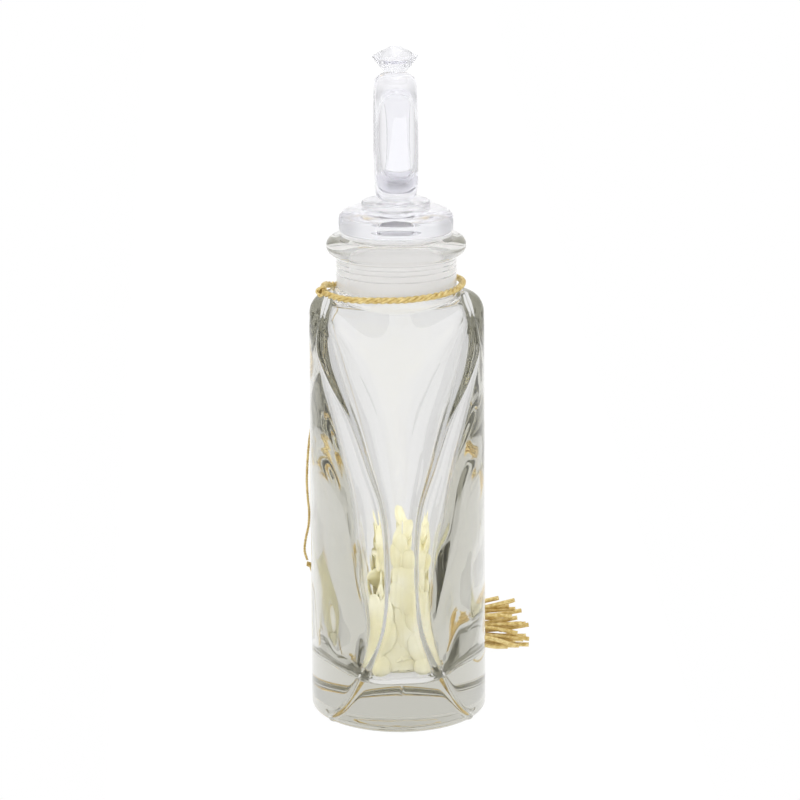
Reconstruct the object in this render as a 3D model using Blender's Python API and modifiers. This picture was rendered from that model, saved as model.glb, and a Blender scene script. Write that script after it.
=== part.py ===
"""Aromatherapy bottle: a flat oval glass flask with hourglass side waists, a plug stopper
carrying a clear finger ring and gem, a gold cord round the neck with a tassel, and a heap
of scented wax petals inside.

Metres, +Z up. The origin is the centre of the foot. X runs through the front and back
panels, Y across the wide side, and the two waists face -Y and +Y.
"""
import math
import random

import bmesh
import bpy
from mathutils import Euler, Matrix, Vector
from mathutils.bvhtree import BVHTree

# Clearance that two touching pieces keep, and the merge distance of turned profiles.
GAP = 0.0003
MERGE = 0.00001

# Glass flask: outer body.
BODY_DEPTH = 0.042
BODY_WIDTH = 0.058
PANEL_TOP = 0.0936
SHOULDER_TOP = 0.102
SHOULDER_SIDE_DROP = 0.0023
CORNER_INSET = 0.005
CORNER_DROP = 0.0058
SHOULDER_RIDGE_ANGLE = math.radians(12)
SLOPE_STEP = 0.0005
FOOT_RADIUS = 0.0012
PUSH_UP = 0.0012
# Outline of the waist: half width as a share of half the depth, at shares of the panel's height.
WAIST_SHARES = (
    (0.0, 0.85),
    (0.05, 0.66),
    (0.14, 0.457),
    (0.27, 0.245),
    (0.456, 0.198),
    (0.584, 0.245),
    (0.684, 0.385),
    (0.807, 0.571),
    (0.897, 0.786),
    (0.94, 0.87),
)
# Middle line of the waist: its distance from the axis as a share of half the width.
WAIST_CREST_SHARES = (
    (0.0, 0.985),
    (0.14, 0.972),
    (0.27, 0.955),
    (0.456, 0.95),
    (0.584, 0.938),
    (0.684, 0.905),
    (0.807, 0.822),
    (0.897, 0.722),
    (0.94, 0.668),
)
# Levels of the body's sections, as shares of the panel's height.
LEVEL_SHARES = (0.04, 0.085, 0.14, 0.2, 0.27, 0.36, 0.456, 0.54, 0.61, 0.684, 0.75, 0.807, 0.855, 0.897, 0.94)
# The foot's flat ring and push-up, as shares of the foot's outline.
FOOT_RING_SHARES = (0.8, 0.955)
PUSH_UP_SHARES = ((0.35, 1.0), (0.68, 0.8))

# Glass flask: neck, lip and wall.
NECK_DIAMETER = 0.0288
NECK_BORE = 0.0225
NECK_FILLET = 0.0016
LIP_DIAMETER = 0.0335
LIP_BEAD_RADIUS = 0.0022
LIP_TOP = 0.1153
LIP_INNER_ROUND = 0.001
WALL = 0.003
# The glass behind the panels: thin at the shoulder and thick at the foot, and how far it has
# thickened at shares of the panel's height.
PANEL_WALL_TOP = 0.0038
PANEL_WALL_FOOT = 0.0105
PANEL_WALL_THICKENING = (
    (0.0, 1.0),
    (0.32, 0.957),
    (0.48, 0.897),
    (0.588, 0.7),
    (0.706, 0.404),
    (0.812, 0.151),
    (0.88, 0.04),
    (0.95, 0.0),
)
# How square the cavity's section is, at shares of the panel's height.
CAVITY_SQUARENESS = (
    (0.0, 2.6),
    (0.48, 2.5),
    (0.64, 2.8),
    (0.8, 3.6),
    (0.94, 3.6),
    (1.0, 3.2),
    (1.05, 2.5),
    (1.083, 2.0),
    (1.1, 2.0),
)
CAVITY_FLOOR = 0.012
CAVITY_CORNER = 0.005
CAVITY_DOME = 0.0006
INNER_SHOULDER = 0.084
INNER_CORNER = 0.093
INNER_TOP = 0.1014
BORE_BOTTOM = 0.103

# Columns of the flask's mesh in a quarter turn.
WAIST_COLUMNS = 5
PANEL_COLUMNS = 7

# Stopper: plug.
PLUG_BORE_CLEARANCE = 0.0003
PLUG_LENGTH = 0.0135
PLUG_STEM_INSET = 0.0004
PLUG_RIB_DEPTHS = (0.0034, 0.0054, 0.0077)
PLUG_RIB_HEIGHT = 0.0009
PLUG_COLLAR_DIAMETER = 0.0266
PLUG_COLLAR_HEIGHT = 0.0007
PLUG_HOLLOW_DIAMETER = 0.0156
PLUG_HOLLOW_DEPTH = 0.0082
SPIGOT_DIAMETER = 0.008
SPIGOT_LENGTH = 0.0038
SPIGOT_CLEARANCE = 0.0003

# Stopper: clear discs, finger ring and gem.
LOWER_DISC_DIAMETER = 0.0274
LOWER_DISC_RIM = 0.0031
LOWER_DISC_HEIGHT = 0.0057
UPPER_DISC_DIAMETER = 0.0166
UPPER_DISC_HEIGHT = 0.0012
DISC_EDGE = 0.0006
RING_DIAMETER = 0.0314
RING_HOLE = 0.0202
RING_WIDTH = 0.01
RING_SINK = 0.0006
RING_SQUARENESS = 2.1
GEM_DIAMETER = 0.0108
GEM_TABLE = 0.0024
GEM_CROWN = 0.0022
GEM_GIRDLE = 0.0003
GEM_PAVILION = 0.0032
GEM_FOOT = 0.006
GEM_MAIN_FACETS = 8

# Sides of the turned pieces.
TURNED_SIDES = 36
RING_STEPS = 40
RING_SECTION_SIDES = 14

# Gold cord round the neck and its knot.
CORD_DIAMETER = 0.0016
CORD_KNOT_SIZE = (0.0032, 0.0030, 0.0022)
CORD_KNOT_PLACE = (-0.0180, -0.0066, 0.1032)
CORD_ROUTE = (
    (-0.0171, -0.0083, 0.1031),
    (-0.0160, -0.0103, 0.1030),
    (-0.0136, -0.0134, 0.1029),
    (-0.0102, -0.0151, 0.1028),
    (-0.0064, -0.0158, 0.1028),
    (-0.0024, -0.0164, 0.1029),
    (0.0016, -0.0165, 0.1030),
    (0.0064, -0.0150, 0.1032),
    (0.0108, -0.0120, 0.1034),
    (0.0140, -0.0075, 0.1036),
    (0.0157, -0.0015, 0.1037),
    (0.0155, 0.0040, 0.1036),
    (0.0128, 0.0097, 0.1034),
    (0.0080, 0.0141, 0.1030),
    (0.0014, 0.0162, 0.1024),
    (-0.0061, 0.0152, 0.1021),
    (-0.0114, 0.0118, 0.1018),
    (-0.0147, 0.0081, 0.1018),
    (-0.0168, 0.0040, 0.1027),
    (-0.0174, -0.0002, 0.1030),
    (-0.0176, -0.0044, 0.1031),
)

# Gold thread that hangs from the knot, its own small knot, and the tassel's lead.
THREAD_DIAMETER = 0.0007
THREAD_KNOT_DIAMETER = 0.0014
THREAD_KNOT_PLACE = (-0.0214, 0.0080, 0.0326)
HANGING_ROUTE = (
    (-0.0131, 0.0120, 0.1028),
    (-0.0131, 0.0123, 0.1010),
    (-0.0132, 0.0128, 0.0980),
    (-0.0148, 0.0138, 0.0946),
    (-0.0167, 0.0147, 0.0921),
    (-0.0184, 0.0150, 0.0896),
    (-0.0194, 0.0144, 0.0862),
    (-0.0197, 0.0134, 0.0820),
    (-0.0197, 0.0126, 0.0770),
    (-0.0199, 0.0118, 0.0700),
    (-0.0206, 0.0108, 0.0655),
    (-0.0211, 0.0105, 0.0620),
    (-0.0215, 0.0100, 0.0575),
    (-0.0217, 0.0088, 0.0530),
    (-0.0215, 0.0081, 0.0490),
    (-0.0212, 0.0088, 0.0455),
    (-0.0214, 0.0084, 0.0422),
    (-0.0221, 0.0080, 0.0390),
    (-0.0224, 0.0080, 0.0360),
    (-0.0218, 0.0080, 0.0337),
)
LEAD_ROUTE = (
    (-0.0211, 0.0090, 0.0320),
    (-0.0206, 0.0112, 0.0300),
    (-0.0198, 0.0142, 0.0256),
    (-0.0183, 0.0190, 0.0185),
    (-0.0163, 0.0245, 0.0112),
    (-0.0148, 0.0300, 0.0055),
    (-0.0142, 0.0360, 0.0018),
    (-0.0146, 0.0405, 0.0008),
    (-0.0152, 0.0452, 0.0012),
    (-0.0150, 0.0495, 0.0025),
    (-0.0133, 0.0517, 0.0038),
    (-0.0112, 0.0520, 0.0041),
)

# Tassel, lying along +X on the table behind the flask.
TASSEL_START = (-0.0107, 0.0520, 0.0041)
TASSEL_HEAD_LENGTH = 0.0072
TASSEL_HEAD_DIAMETER = 0.0068
TASSEL_BINDING_LENGTH = 0.0024
TASSEL_BINDING_DIAMETER = 0.0056
TASSEL_CORE_LENGTH = 0.009
TASSEL_CORE_START_DIAMETER = 0.0052
TASSEL_CORE_END_DIAMETER = 0.0066
TASSEL_LENGTH = 0.0448
STRAND_DIAMETER = 0.0008
STRAND_ROOT = 0.0022
STRAND_RINGS = ((1, 0.0), (6, 0.0013), (12, 0.0026))
STRAND_FAN = 1.55
STRAND_TRIM = 0.0035
STRAND_STATIONS = 6

# Scented petals heaped in the flask.
PETAL_COUNT = 27
PETAL_SIZE = (0.0124, 0.0104, 0.0028)
PETAL_SIZE_SPREAD_SHARE = 0.16
PETAL_SHRINK_SHARE = 0.9
PETAL_CLEARANCE = 0.00035
PETAL_TILT = math.radians(34)
PETAL_TRIES = 7
PETAL_STEP = 0.0022
PETAL_FINE_STEPS = 6
PETAL_REACH = 0.0175
PETAL_SEED = 11
PETAL_SIDES = 10
PETAL_RINGS = 4


def clear_scene():
    """Remove what a new file starts with."""
    for thing in list(bpy.data.objects):
        bpy.data.objects.remove(thing, do_unlink=True)


def new_collection(name):
    """A collection linked to the scene."""
    collection = bpy.data.collections.new(name)
    bpy.context.scene.collection.children.link(collection)
    return collection


def new_material(name, color, roughness, metallic=0.0, transmission=0.0, ior=1.5):
    """A Principled material of one colour."""
    material = bpy.data.materials.new(name)
    material.use_nodes = True
    shader = material.node_tree.nodes["Principled BSDF"]
    shader.inputs["Base Color"].default_value = (*color, 1.0)
    shader.inputs["Roughness"].default_value = roughness
    shader.inputs["Metallic"].default_value = metallic
    shader.inputs["Transmission Weight"].default_value = transmission
    shader.inputs["IOR"].default_value = ior
    return material


def add_object(name, data, material, collection, place=(0, 0, 0), turn=(0, 0, 0)):
    """An object of the given data, placed in the collection."""
    thing = bpy.data.objects.new(name, data)
    thing.location = place
    thing.rotation_euler = turn
    data.materials.append(material)
    collection.objects.link(thing)
    return thing


def mesh_from(name, shape, smooth=True):
    """A mesh datablock of a bmesh, which is freed."""
    mesh = bpy.data.meshes.new(name)
    shape.to_mesh(mesh)
    shape.free()
    if smooth:
        mesh.shade_smooth()
        mesh.set_sharp_from_angle(angle=math.radians(40))
    return mesh


def smooth_table(table, share):
    """Value at a share along a table of (share, value), on a smooth curve through its points."""
    last = len(table) - 1
    share = min(max(share, table[0][0]), table[last][0])
    index = max(i for i in range(last) if table[i][0] <= share)

    def slope(i):
        low = table[max(i - 1, 0)]
        high = table[min(i + 1, last)]
        return (high[1] - low[1]) / (high[0] - low[0])

    start, end = table[index], table[index + 1]
    span = end[0] - start[0]
    t = (share - start[0]) / span
    rise = end[1] - start[1]
    a = slope(index) * span - rise
    b = rise - slope(index + 1) * span
    return start[1] + t * rise + t * (1 - t) * ((1 - t) * a + t * b)


def smooth_step(t):
    """Ease from 0 to 1."""
    t = min(max(t, 0.0), 1.0)
    return t * t * (3 - 2 * t)


def blend(a, b, t):
    """Straight mix of two values."""
    return a + (b - a) * t


def carry_on(start, slope, end, t, end_slope=0.0):
    """Smooth curve from start to end that begins with the given slope."""
    t2, t3 = t * t, t * t * t
    leaving = slope * (t3 - 2 * t2 + t) + end_slope * (t3 - t2)
    return start * (2 * t3 - 3 * t2 + 1) + end * (3 * t2 - 2 * t3) + leaving


class Level:
    """One closed section of the flask, given by its quarter in +X and +Y.

    depth is its reach along X, crest its reach along Y, ridge the corner between panel and
    waist, bow how round the waist part is, and rise the heights at the X and Y ends.
    """

    def __init__(self, depth, crest, ridge, bow, rise):
        self.depth = depth
        self.crest = crest
        self.ridge = ridge
        self.bow = bow
        self.rise = rise

    def quarter(self):
        """Points from the X end to just short of the Y end, then the Y end."""
        ridge_x, ridge_y = self.ridge
        panel_reach = ridge_y / math.sqrt(1 - (ridge_x / self.depth) ** 2)
        ridge_angle = math.acos(ridge_x / self.depth)
        points = []
        for i in range(PANEL_COLUMNS):
            angle = ridge_angle * i / PANEL_COLUMNS
            points.append((self.depth * math.cos(angle), panel_reach * math.sin(angle)))
        for i in range(WAIST_COLUMNS + 1):
            points.append(self.waist_point(1 - i / WAIST_COLUMNS))
        return points

    def waist_point(self, share):
        """Point of the waist part, from 0 at its middle to 1 at the ridge."""
        ridge_x, ridge_y = self.ridge
        root = math.sqrt(self.bow)
        t = math.sin(share * math.asin(root)) / root
        fall = (1 - math.sqrt(1 - self.bow * t * t)) / (1 - math.sqrt(1 - self.bow))
        return ridge_x * t, self.crest - (self.crest - ridge_y) * fall

    def ring(self, scale=1.0, lift=0.0):
        """The whole section as points, counterclockwise from +X."""
        quarter = self.quarter()
        mirrored = [(-x, y) for x, y in reversed(quarter[:-1])]
        half = quarter + mirrored
        whole = half + [(-x, -y) for x, y in half[1:-1]]
        points = []
        for x, y in whole:
            share = y * y / (x * x + y * y)
            height = blend(self.rise[0], self.rise[1], share)
            points.append(Vector((x * scale, y * scale, height + lift)))
        return points


# Where the ridge's column lies on the neck's sections.
RIDGE_ANGLE = math.radians(90) * PANEL_COLUMNS / (PANEL_COLUMNS + WAIST_COLUMNS)


def round_level(radius, height, ridge_angle=RIDGE_ANGLE):
    """A circular section, with the ridge's column at the given angle from X."""
    ridge = (radius * math.cos(ridge_angle), radius * math.sin(ridge_angle))
    return Level(radius, radius, ridge, math.cos(ridge_angle) ** 2, (height, height))


def body_level(share):
    """The flask's section at a share of the panel's height."""
    half_depth = BODY_DEPTH / 2
    half_width = BODY_WIDTH / 2
    ridge_share = smooth_table(WAIST_SHARES, share)
    ridge = (half_depth * ridge_share, half_width * math.sqrt(1 - ridge_share**2))
    crest = half_width * smooth_table(WAIST_CREST_SHARES, share)
    height = PANEL_TOP * share
    return Level(half_depth, crest, ridge, ridge_share**2, (height, height))


def foot_rings():
    """The push-up, the flat ring that the flask stands on, and the rounded foot edge."""
    foot = body_level(FOOT_RADIUS / PANEL_TOP)
    flat = Level(foot.depth, foot.crest, foot.ridge, foot.bow, (0.0, 0.0))
    rings = [flat.ring(scale, PUSH_UP * rise) for scale, rise in PUSH_UP_SHARES]
    rings += [flat.ring(scale) for scale in FOOT_RING_SHARES]
    half_turn_inset = 1 - FOOT_RADIUS * (1 - math.sin(math.radians(45))) / foot.depth
    rings.append(flat.ring(half_turn_inset, FOOT_RADIUS * (1 - math.cos(math.radians(45)))))
    rings.append(flat.ring(1.0, FOOT_RADIUS))
    return rings


def shoulder_levels():
    """Sections from the top of the panels round the shoulder corners to the neck's fillet."""
    start = body_level(LEVEL_SHARES[-1])
    below = body_level(LEVEL_SHARES[-1] - SLOPE_STEP / PANEL_TOP)
    neck = NECK_DIAMETER / 2
    corner_z = SHOULDER_TOP - CORNER_DROP
    flat_x = start.depth - CORNER_INSET
    fillet_x = neck + NECK_FILLET
    side = [(start.depth, start.rise[0]), (start.depth, blend(start.rise[0], corner_z, 0.55))]
    for step in range(5):
        angle = math.radians(90) * step / 4
        side.append((flat_x + CORNER_INSET * math.cos(angle), corner_z + CORNER_DROP * math.sin(angle)))
    side.append((fillet_x, SHOULDER_TOP))
    lengths = [0.0]
    for (x0, z0), (x1, z1) in zip(side, side[1:]):
        lengths.append(lengths[-1] + math.hypot(x1 - x0, z1 - z0))
    end = round_level(fillet_x, SHOULDER_TOP, SHOULDER_RIDGE_ANGLE)
    crest_end_z = SHOULDER_TOP - SHOULDER_SIDE_DROP
    crest_slope = (start.crest - below.crest) / SLOPE_STEP * (crest_end_z - start.rise[1])
    ridge_slope = [(a - b) / SLOPE_STEP * lengths[-1] for a, b in zip(start.ridge, below.ridge)]
    levels = []
    for (depth, height), length in list(zip(side, lengths))[1:]:
        t = length / lengths[-1]
        crest = carry_on(start.crest, crest_slope, fillet_x, t, (fillet_x - start.crest) / 2)
        crest_z = blend(start.rise[1], crest_end_z, t)
        ends = zip(start.ridge, ridge_slope, end.ridge)
        ridge = tuple(carry_on(value, slope, last, t) for value, slope, last in ends)
        levels.append(Level(depth, crest, ridge, blend(start.bow, end.bow, t), (height, crest_z)))
    return levels


def neck_levels():
    """Fillet, neck, rolled lip and bore, from the shoulder up and down into the bore."""
    neck = NECK_DIAMETER / 2
    bore = NECK_BORE / 2
    fillet_end = SHOULDER_TOP + NECK_FILLET
    middle = neck + NECK_FILLET * (1 - math.cos(math.radians(45)))
    middle_z = fillet_end - NECK_FILLET * math.sin(math.radians(45))
    middle_level = round_level(middle, middle_z, blend(SHOULDER_RIDGE_ANGLE, RIDGE_ANGLE, 1 / 3))
    middle_level.rise = (middle_z, middle_z - SHOULDER_SIDE_DROP / 2)
    fillet_level = round_level(neck, fillet_end, blend(SHOULDER_RIDGE_ANGLE, RIDGE_ANGLE, 2 / 3))
    levels = [middle_level, fillet_level]
    bead_x = LIP_DIAMETER / 2 - LIP_BEAD_RADIUS
    bead_z = LIP_TOP - LIP_BEAD_RADIUS
    levels.append(round_level(neck, bead_z - LIP_BEAD_RADIUS))
    for degrees in (-62, -38, -14, 10, 34, 60, 90):
        angle = math.radians(degrees)
        radius = bead_x + LIP_BEAD_RADIUS * math.cos(angle)
        levels.append(round_level(radius, bead_z + LIP_BEAD_RADIUS * math.sin(angle)))
    for degrees in (0, 45, 90):
        angle = math.radians(degrees)
        radius = bore + LIP_INNER_ROUND * (1 - math.sin(angle))
        levels.append(round_level(radius, LIP_TOP - LIP_INNER_ROUND * (1 - math.cos(angle))))
    levels.append(round_level(bore, BORE_BOTTOM))
    return levels


def inner_half_width(height):
    """Half width of the cavity below its shoulder."""
    return BODY_WIDTH / 2 * smooth_table(WAIST_CREST_SHARES, height / PANEL_TOP) - WALL


def cavity_half_sizes(height):
    """Half depth and half width of the cavity at a height, above its floor's rounding."""
    bore = NECK_BORE / 2
    thickening = smooth_table(PANEL_WALL_THICKENING, height / PANEL_TOP)
    widest = BODY_DEPTH / 2 - blend(PANEL_WALL_TOP, PANEL_WALL_FOOT, thickening)
    corner = min(max((height - INNER_CORNER) / (INNER_TOP - INNER_CORNER), 0.0), 1.0)
    half_depth = blend(bore, widest, math.sqrt(1 - corner**2))
    if height <= INNER_SHOULDER:
        return half_depth, inner_half_width(height)
    start = inner_half_width(INNER_SHOULDER)
    span = BORE_BOTTOM - INNER_SHOULDER
    slope = (start - inner_half_width(INNER_SHOULDER - SLOPE_STEP)) / SLOPE_STEP * span
    t = min((height - INNER_SHOULDER) / span, 1.0)
    return half_depth, carry_on(start, slope, bore, t)


def cavity_ring(half_depth, half_width, height):
    """A ring of the cavity: round at the bore, flatter at its ends further down."""
    power = 2 / smooth_table(CAVITY_SQUARENESS, height / PANEL_TOP)
    points = []
    for point in round_level(1.0, 0.0).ring():
        x = math.copysign(abs(point.x) ** power, point.x)
        y = math.copysign(abs(point.y) ** power, point.y)
        points.append(Vector((x * half_depth, y * half_width, height)))
    return points


def cavity_rings():
    """The cavity's wall from the bore down to its rounded floor."""
    rings = []
    heights = [blend(INNER_TOP, INNER_CORNER, share) for share in (0.0, 0.1, 0.28, 0.58, 1.0)]
    heights += [blend(INNER_CORNER, INNER_SHOULDER, share) for share in (0.5, 1.0)]
    wall_end = CAVITY_FLOOR + CAVITY_CORNER
    heights += [blend(INNER_SHOULDER, wall_end, share) for share in (0.14, 0.3, 0.5, 0.75, 1.0)]
    for height in heights:
        rings.append(cavity_ring(*cavity_half_sizes(height), height))
    half_depth, half_width = cavity_half_sizes(wall_end)
    for degrees in (35, 65, 90):
        angle = math.radians(degrees)
        inset = CAVITY_CORNER * (1 - math.cos(angle))
        height = wall_end - CAVITY_CORNER * math.sin(angle)
        rings.append(cavity_ring(half_depth - inset, half_width - inset, height))
    floor_share = 0.5
    inset = CAVITY_CORNER
    inner = ((half_depth - inset) * floor_share, (half_width - inset) * floor_share)
    rings.append(cavity_ring(*inner, CAVITY_FLOOR + CAVITY_DOME / 2))
    return rings


def loft(shape, rings, start_tip, end_tip):
    """Join the rings by quads and close both ends on a tip."""
    loops = [[shape.verts.new(point) for point in ring] for ring in rings]
    count = len(loops[0])
    first_tip = shape.verts.new(start_tip)
    last_tip = shape.verts.new(end_tip)
    for i in range(count):
        j = (i + 1) % count
        shape.faces.new((first_tip, loops[0][j], loops[0][i]))
        shape.faces.new((last_tip, loops[-1][i], loops[-1][j]))
        for low, high in zip(loops, loops[1:]):
            shape.faces.new((low[i], low[j], high[j], high[i]))


def make_flask(collection, glass):
    """The glass flask, one closed skin from the foot over the lip to the cavity floor."""
    rings = foot_rings()
    rings += [body_level(share).ring() for share in LEVEL_SHARES]
    rings += [level.ring() for level in shoulder_levels()]
    rings += [level.ring() for level in neck_levels()]
    rings += cavity_rings()
    shape = bmesh.new()
    loft(shape, rings, Vector((0, 0, PUSH_UP)), Vector((0, 0, CAVITY_FLOOR + CAVITY_DOME)))
    return add_object("glass_bottle", mesh_from("glass_bottle", shape), glass, collection)


def turned(name, outline, material, collection, steps=TURNED_SIDES, **placing):
    """A piece turned round Z from an outline that runs down its outer side."""
    mesh = bpy.data.meshes.new(name)
    edges = [(i, i + 1) for i in range(len(outline) - 1)]
    mesh.from_pydata([(radius, 0, height) for radius, height in outline], edges, [])
    thing = add_object(name, mesh, material, collection, **placing)
    screw = thing.modifiers.new("turn", "SCREW")
    screw.steps = steps
    screw.render_steps = steps
    screw.use_merge_vertices = True
    screw.merge_threshold = MERGE
    screw.use_smooth_shade = True
    return thing


def make_plug(collection, material):
    """The soft plug: collar on the lip, ribbed stem in the bore, hollow below, socket above."""
    collar_bottom = LIP_TOP + GAP
    top = collar_bottom + PLUG_COLLAR_HEIGHT
    bottom = LIP_TOP - PLUG_LENGTH
    rib = NECK_BORE / 2 - PLUG_BORE_CLEARANCE
    stem = rib - PLUG_STEM_INSET
    socket = SPIGOT_DIAMETER / 2 + SPIGOT_CLEARANCE
    socket_floor = top - SPIGOT_LENGTH - GAP
    hollow = PLUG_HOLLOW_DIAMETER / 2
    outline = [(0, socket_floor), (socket, socket_floor), (socket, top)]
    outline += [(PLUG_COLLAR_DIAMETER / 2, top), (PLUG_COLLAR_DIAMETER / 2, collar_bottom)]
    outline.append((stem, collar_bottom))
    for depth in PLUG_RIB_DEPTHS:
        middle = LIP_TOP - depth
        outline.append((stem, middle + PLUG_RIB_HEIGHT / 2))
        outline.append((rib, middle))
        outline.append((stem, middle - PLUG_RIB_HEIGHT / 2))
    outline += [(stem, bottom), (hollow, bottom), (hollow, bottom + PLUG_HOLLOW_DEPTH)]
    outline.append((0, bottom + PLUG_HOLLOW_DEPTH))
    turned("stopper_plug", outline, material, collection)
    return top


def make_lower_disc(collection, material, seat):
    """The wide clear disc with a domed top, and the spigot under it."""
    bottom = seat + GAP
    top = bottom + LOWER_DISC_HEIGHT
    rim_top = bottom + LOWER_DISC_RIM
    radius = LOWER_DISC_DIAMETER / 2
    flat = UPPER_DISC_DIAMETER / 2
    outline = [(0, top), (flat, top)]
    for degrees in (70, 50, 30, 10):
        angle = math.radians(degrees)
        reach = blend(flat, radius, math.cos(angle))
        outline.append((reach, blend(rim_top, top, math.sin(angle))))
    outline += [(radius, rim_top), (radius, bottom + DISC_EDGE), (radius - DISC_EDGE, bottom)]
    outline += [(SPIGOT_DIAMETER / 2, bottom), (SPIGOT_DIAMETER / 2, seat - SPIGOT_LENGTH + GAP)]
    outline.append((0, seat - SPIGOT_LENGTH + GAP))
    turned("stopper_lower_disc", outline, material, collection)
    return top


def make_upper_disc(collection, material, seat):
    """The small clear disc that carries the ring."""
    bottom = seat + GAP
    top = bottom + UPPER_DISC_HEIGHT
    radius = UPPER_DISC_DIAMETER / 2
    slant = DISC_EDGE / 2
    outline = [(0, top), (radius - DISC_EDGE, top), (radius - slant / 2, top - slant / 2)]
    outline += [(radius, top - DISC_EDGE), (radius, bottom + slant), (radius - slant, bottom), (0, bottom)]
    turned("stopper_upper_disc", outline, material, collection)
    return top


def make_ring(collection, cutters, material, seat):
    """The clear finger ring, standing on edge across the wide side, with a flat foot."""
    outer = RING_DIAMETER / 2
    inner = RING_HOLE / 2
    middle = (outer + inner) / 2
    half_band = (outer - inner) / 2
    half_width = RING_WIDTH / 2
    outline = []
    for i in range(RING_SECTION_SIDES):
        angle = math.tau * (i + 0.5) / RING_SECTION_SIDES
        power = 2 / RING_SQUARENESS
        across = math.copysign(abs(math.cos(angle)) ** power, math.cos(angle))
        along = math.copysign(abs(math.sin(angle)) ** power, math.sin(angle))
        outline.append((middle + half_band * across, -half_width * along))
    foot = seat + GAP
    center = foot - RING_SINK + outer
    ring = turned(
        "stopper_ring",
        outline + outline[:1],
        material,
        collection,
        RING_STEPS,
        place=(0, 0, center),
        turn=(0, math.radians(90), 0),
    )
    ring.modifiers["turn"].use_normal_calculate = True
    block = bmesh.new()
    bmesh.ops.create_cube(block, size=1.0)
    bmesh.ops.scale(block, vec=(RING_DIAMETER, RING_DIAMETER, RING_SINK * 2), verts=block.verts)
    cutter = add_object("ring_foot_cutter", mesh_from("ring_foot_cutter", block, False), material, cutters)
    cutter.location = (0, 0, foot - RING_SINK)
    cutter.hide_render = True
    cutter.display_type = "WIRE"
    cut = ring.modifiers.new("foot", "BOOLEAN")
    cut.operation = "DIFFERENCE"
    cut.object = cutter
    return center + outer


def make_gem(collection, material, seat):
    """The faceted gem on top of the ring: table, crown, girdle and cut-off pavilion."""
    bottom = seat + GAP
    girdle = bottom + GEM_PAVILION
    layers = (
        (GEM_FOOT / 2, bottom, GEM_MAIN_FACETS, 0.0),
        (GEM_DIAMETER / 2, girdle, GEM_MAIN_FACETS * 2, 0.0),
        (GEM_DIAMETER / 2, girdle + GEM_GIRDLE, GEM_MAIN_FACETS * 2, 0.0),
        (GEM_TABLE / 2, girdle + GEM_GIRDLE + GEM_CROWN, GEM_MAIN_FACETS, 0.5),
    )
    shape = bmesh.new()
    for radius, height, count, shift in layers:
        for i in range(count):
            angle = math.tau * (i + shift) / count
            shape.verts.new((radius * math.cos(angle), radius * math.sin(angle), height))
    bmesh.ops.convex_hull(shape, input=shape.verts)
    bmesh.ops.recalc_face_normals(shape, faces=shape.faces)
    add_object("stopper_gem", mesh_from("stopper_gem", shape, False), material, collection)


def route_points(route, spacing):
    """Evenly spaced points on a smooth curve through the route."""
    stops = [Vector(point) for point in route]
    fine = []
    for i in range(len(stops) - 1):
        before = stops[max(i - 1, 0)]
        after = stops[min(i + 2, len(stops) - 1)]
        span = (stops[i + 1] - stops[i]).length
        lead_in = (stops[i + 1] - before).normalized() * span
        lead_out = (after - stops[i]).normalized() * span
        for step in range(12):
            t = step / 12
            t2, t3 = t * t, t * t * t
            fine.append(
                stops[i] * (2 * t3 - 3 * t2 + 1)
                + lead_in * (t3 - 2 * t2 + t)
                + stops[i + 1] * (3 * t2 - 2 * t3)
                + lead_out * (t3 - t2)
            )
    fine.append(stops[-1])
    lengths = [0.0]
    for a, b in zip(fine, fine[1:]):
        lengths.append(lengths[-1] + (b - a).length)
    count = max(2, round(lengths[-1] / spacing))
    points = []
    index = 0
    for step in range(count + 1):
        target = lengths[-1] * step / count
        while index < len(fine) - 2 and lengths[index + 1] < target:
            index += 1
        span = lengths[index + 1] - lengths[index]
        points.append(fine[index].lerp(fine[index + 1], (target - lengths[index]) / span))
    return points


def make_tube(name, points, diameter, material, collection, roundness=2):
    """A round tube with capped ends along the points."""
    curve = bpy.data.curves.new(name, "CURVE")
    curve.dimensions = "3D"
    curve.bevel_depth = diameter / 2
    curve.bevel_resolution = roundness
    curve.use_fill_caps = True
    spline = curve.splines.new("POLY")
    spline.points.add(len(points) - 1)
    for slot, point in zip(spline.points, points):
        slot.co = (*point, 1.0)
    return add_object(name, curve, material, collection)


def make_bead(name, size, place, material, collection):
    """An egg-shaped knot."""
    shape = bmesh.new()
    bmesh.ops.create_uvsphere(shape, u_segments=12, v_segments=8, radius=0.5)
    bmesh.ops.scale(shape, vec=size, verts=shape.verts)
    add_object(name, mesh_from(name, shape), material, collection, place=place)


def make_cords(collection, gold):
    """The cord round the neck with its knot, and the thread that hangs from it."""
    spacing = CORD_DIAMETER * 1.5
    make_tube("neck_cord", route_points(CORD_ROUTE, spacing), CORD_DIAMETER, gold, collection)
    make_bead("cord_knot", CORD_KNOT_SIZE, CORD_KNOT_PLACE, gold, collection)
    spacing = THREAD_DIAMETER * 3
    hanging = route_points(HANGING_ROUTE, spacing)
    make_tube("hanging_thread", hanging, THREAD_DIAMETER, gold, collection)
    knot_size = (THREAD_KNOT_DIAMETER,) * 3
    make_bead("thread_knot", knot_size, THREAD_KNOT_PLACE, gold, collection)
    lead = route_points(LEAD_ROUTE, spacing)
    make_tube("tassel_lead", lead, THREAD_DIAMETER, gold, collection)


def strand_points(index, count, radius, start_x, end_x):
    """A strand from inside the core, fanning out and drooping to the table."""
    turn = math.tau * (index + 0.25) / count
    root = Vector((0, math.cos(turn) * radius, math.sin(turn) * radius))
    points = []
    for station in range(STRAND_STATIONS):
        t = station / (STRAND_STATIONS - 1)
        spread = blend(1.0, STRAND_FAN, smooth_step(t))
        points.append(Vector((blend(start_x, end_x, t), root.y * spread, root.z * spread)))
    return points


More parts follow.
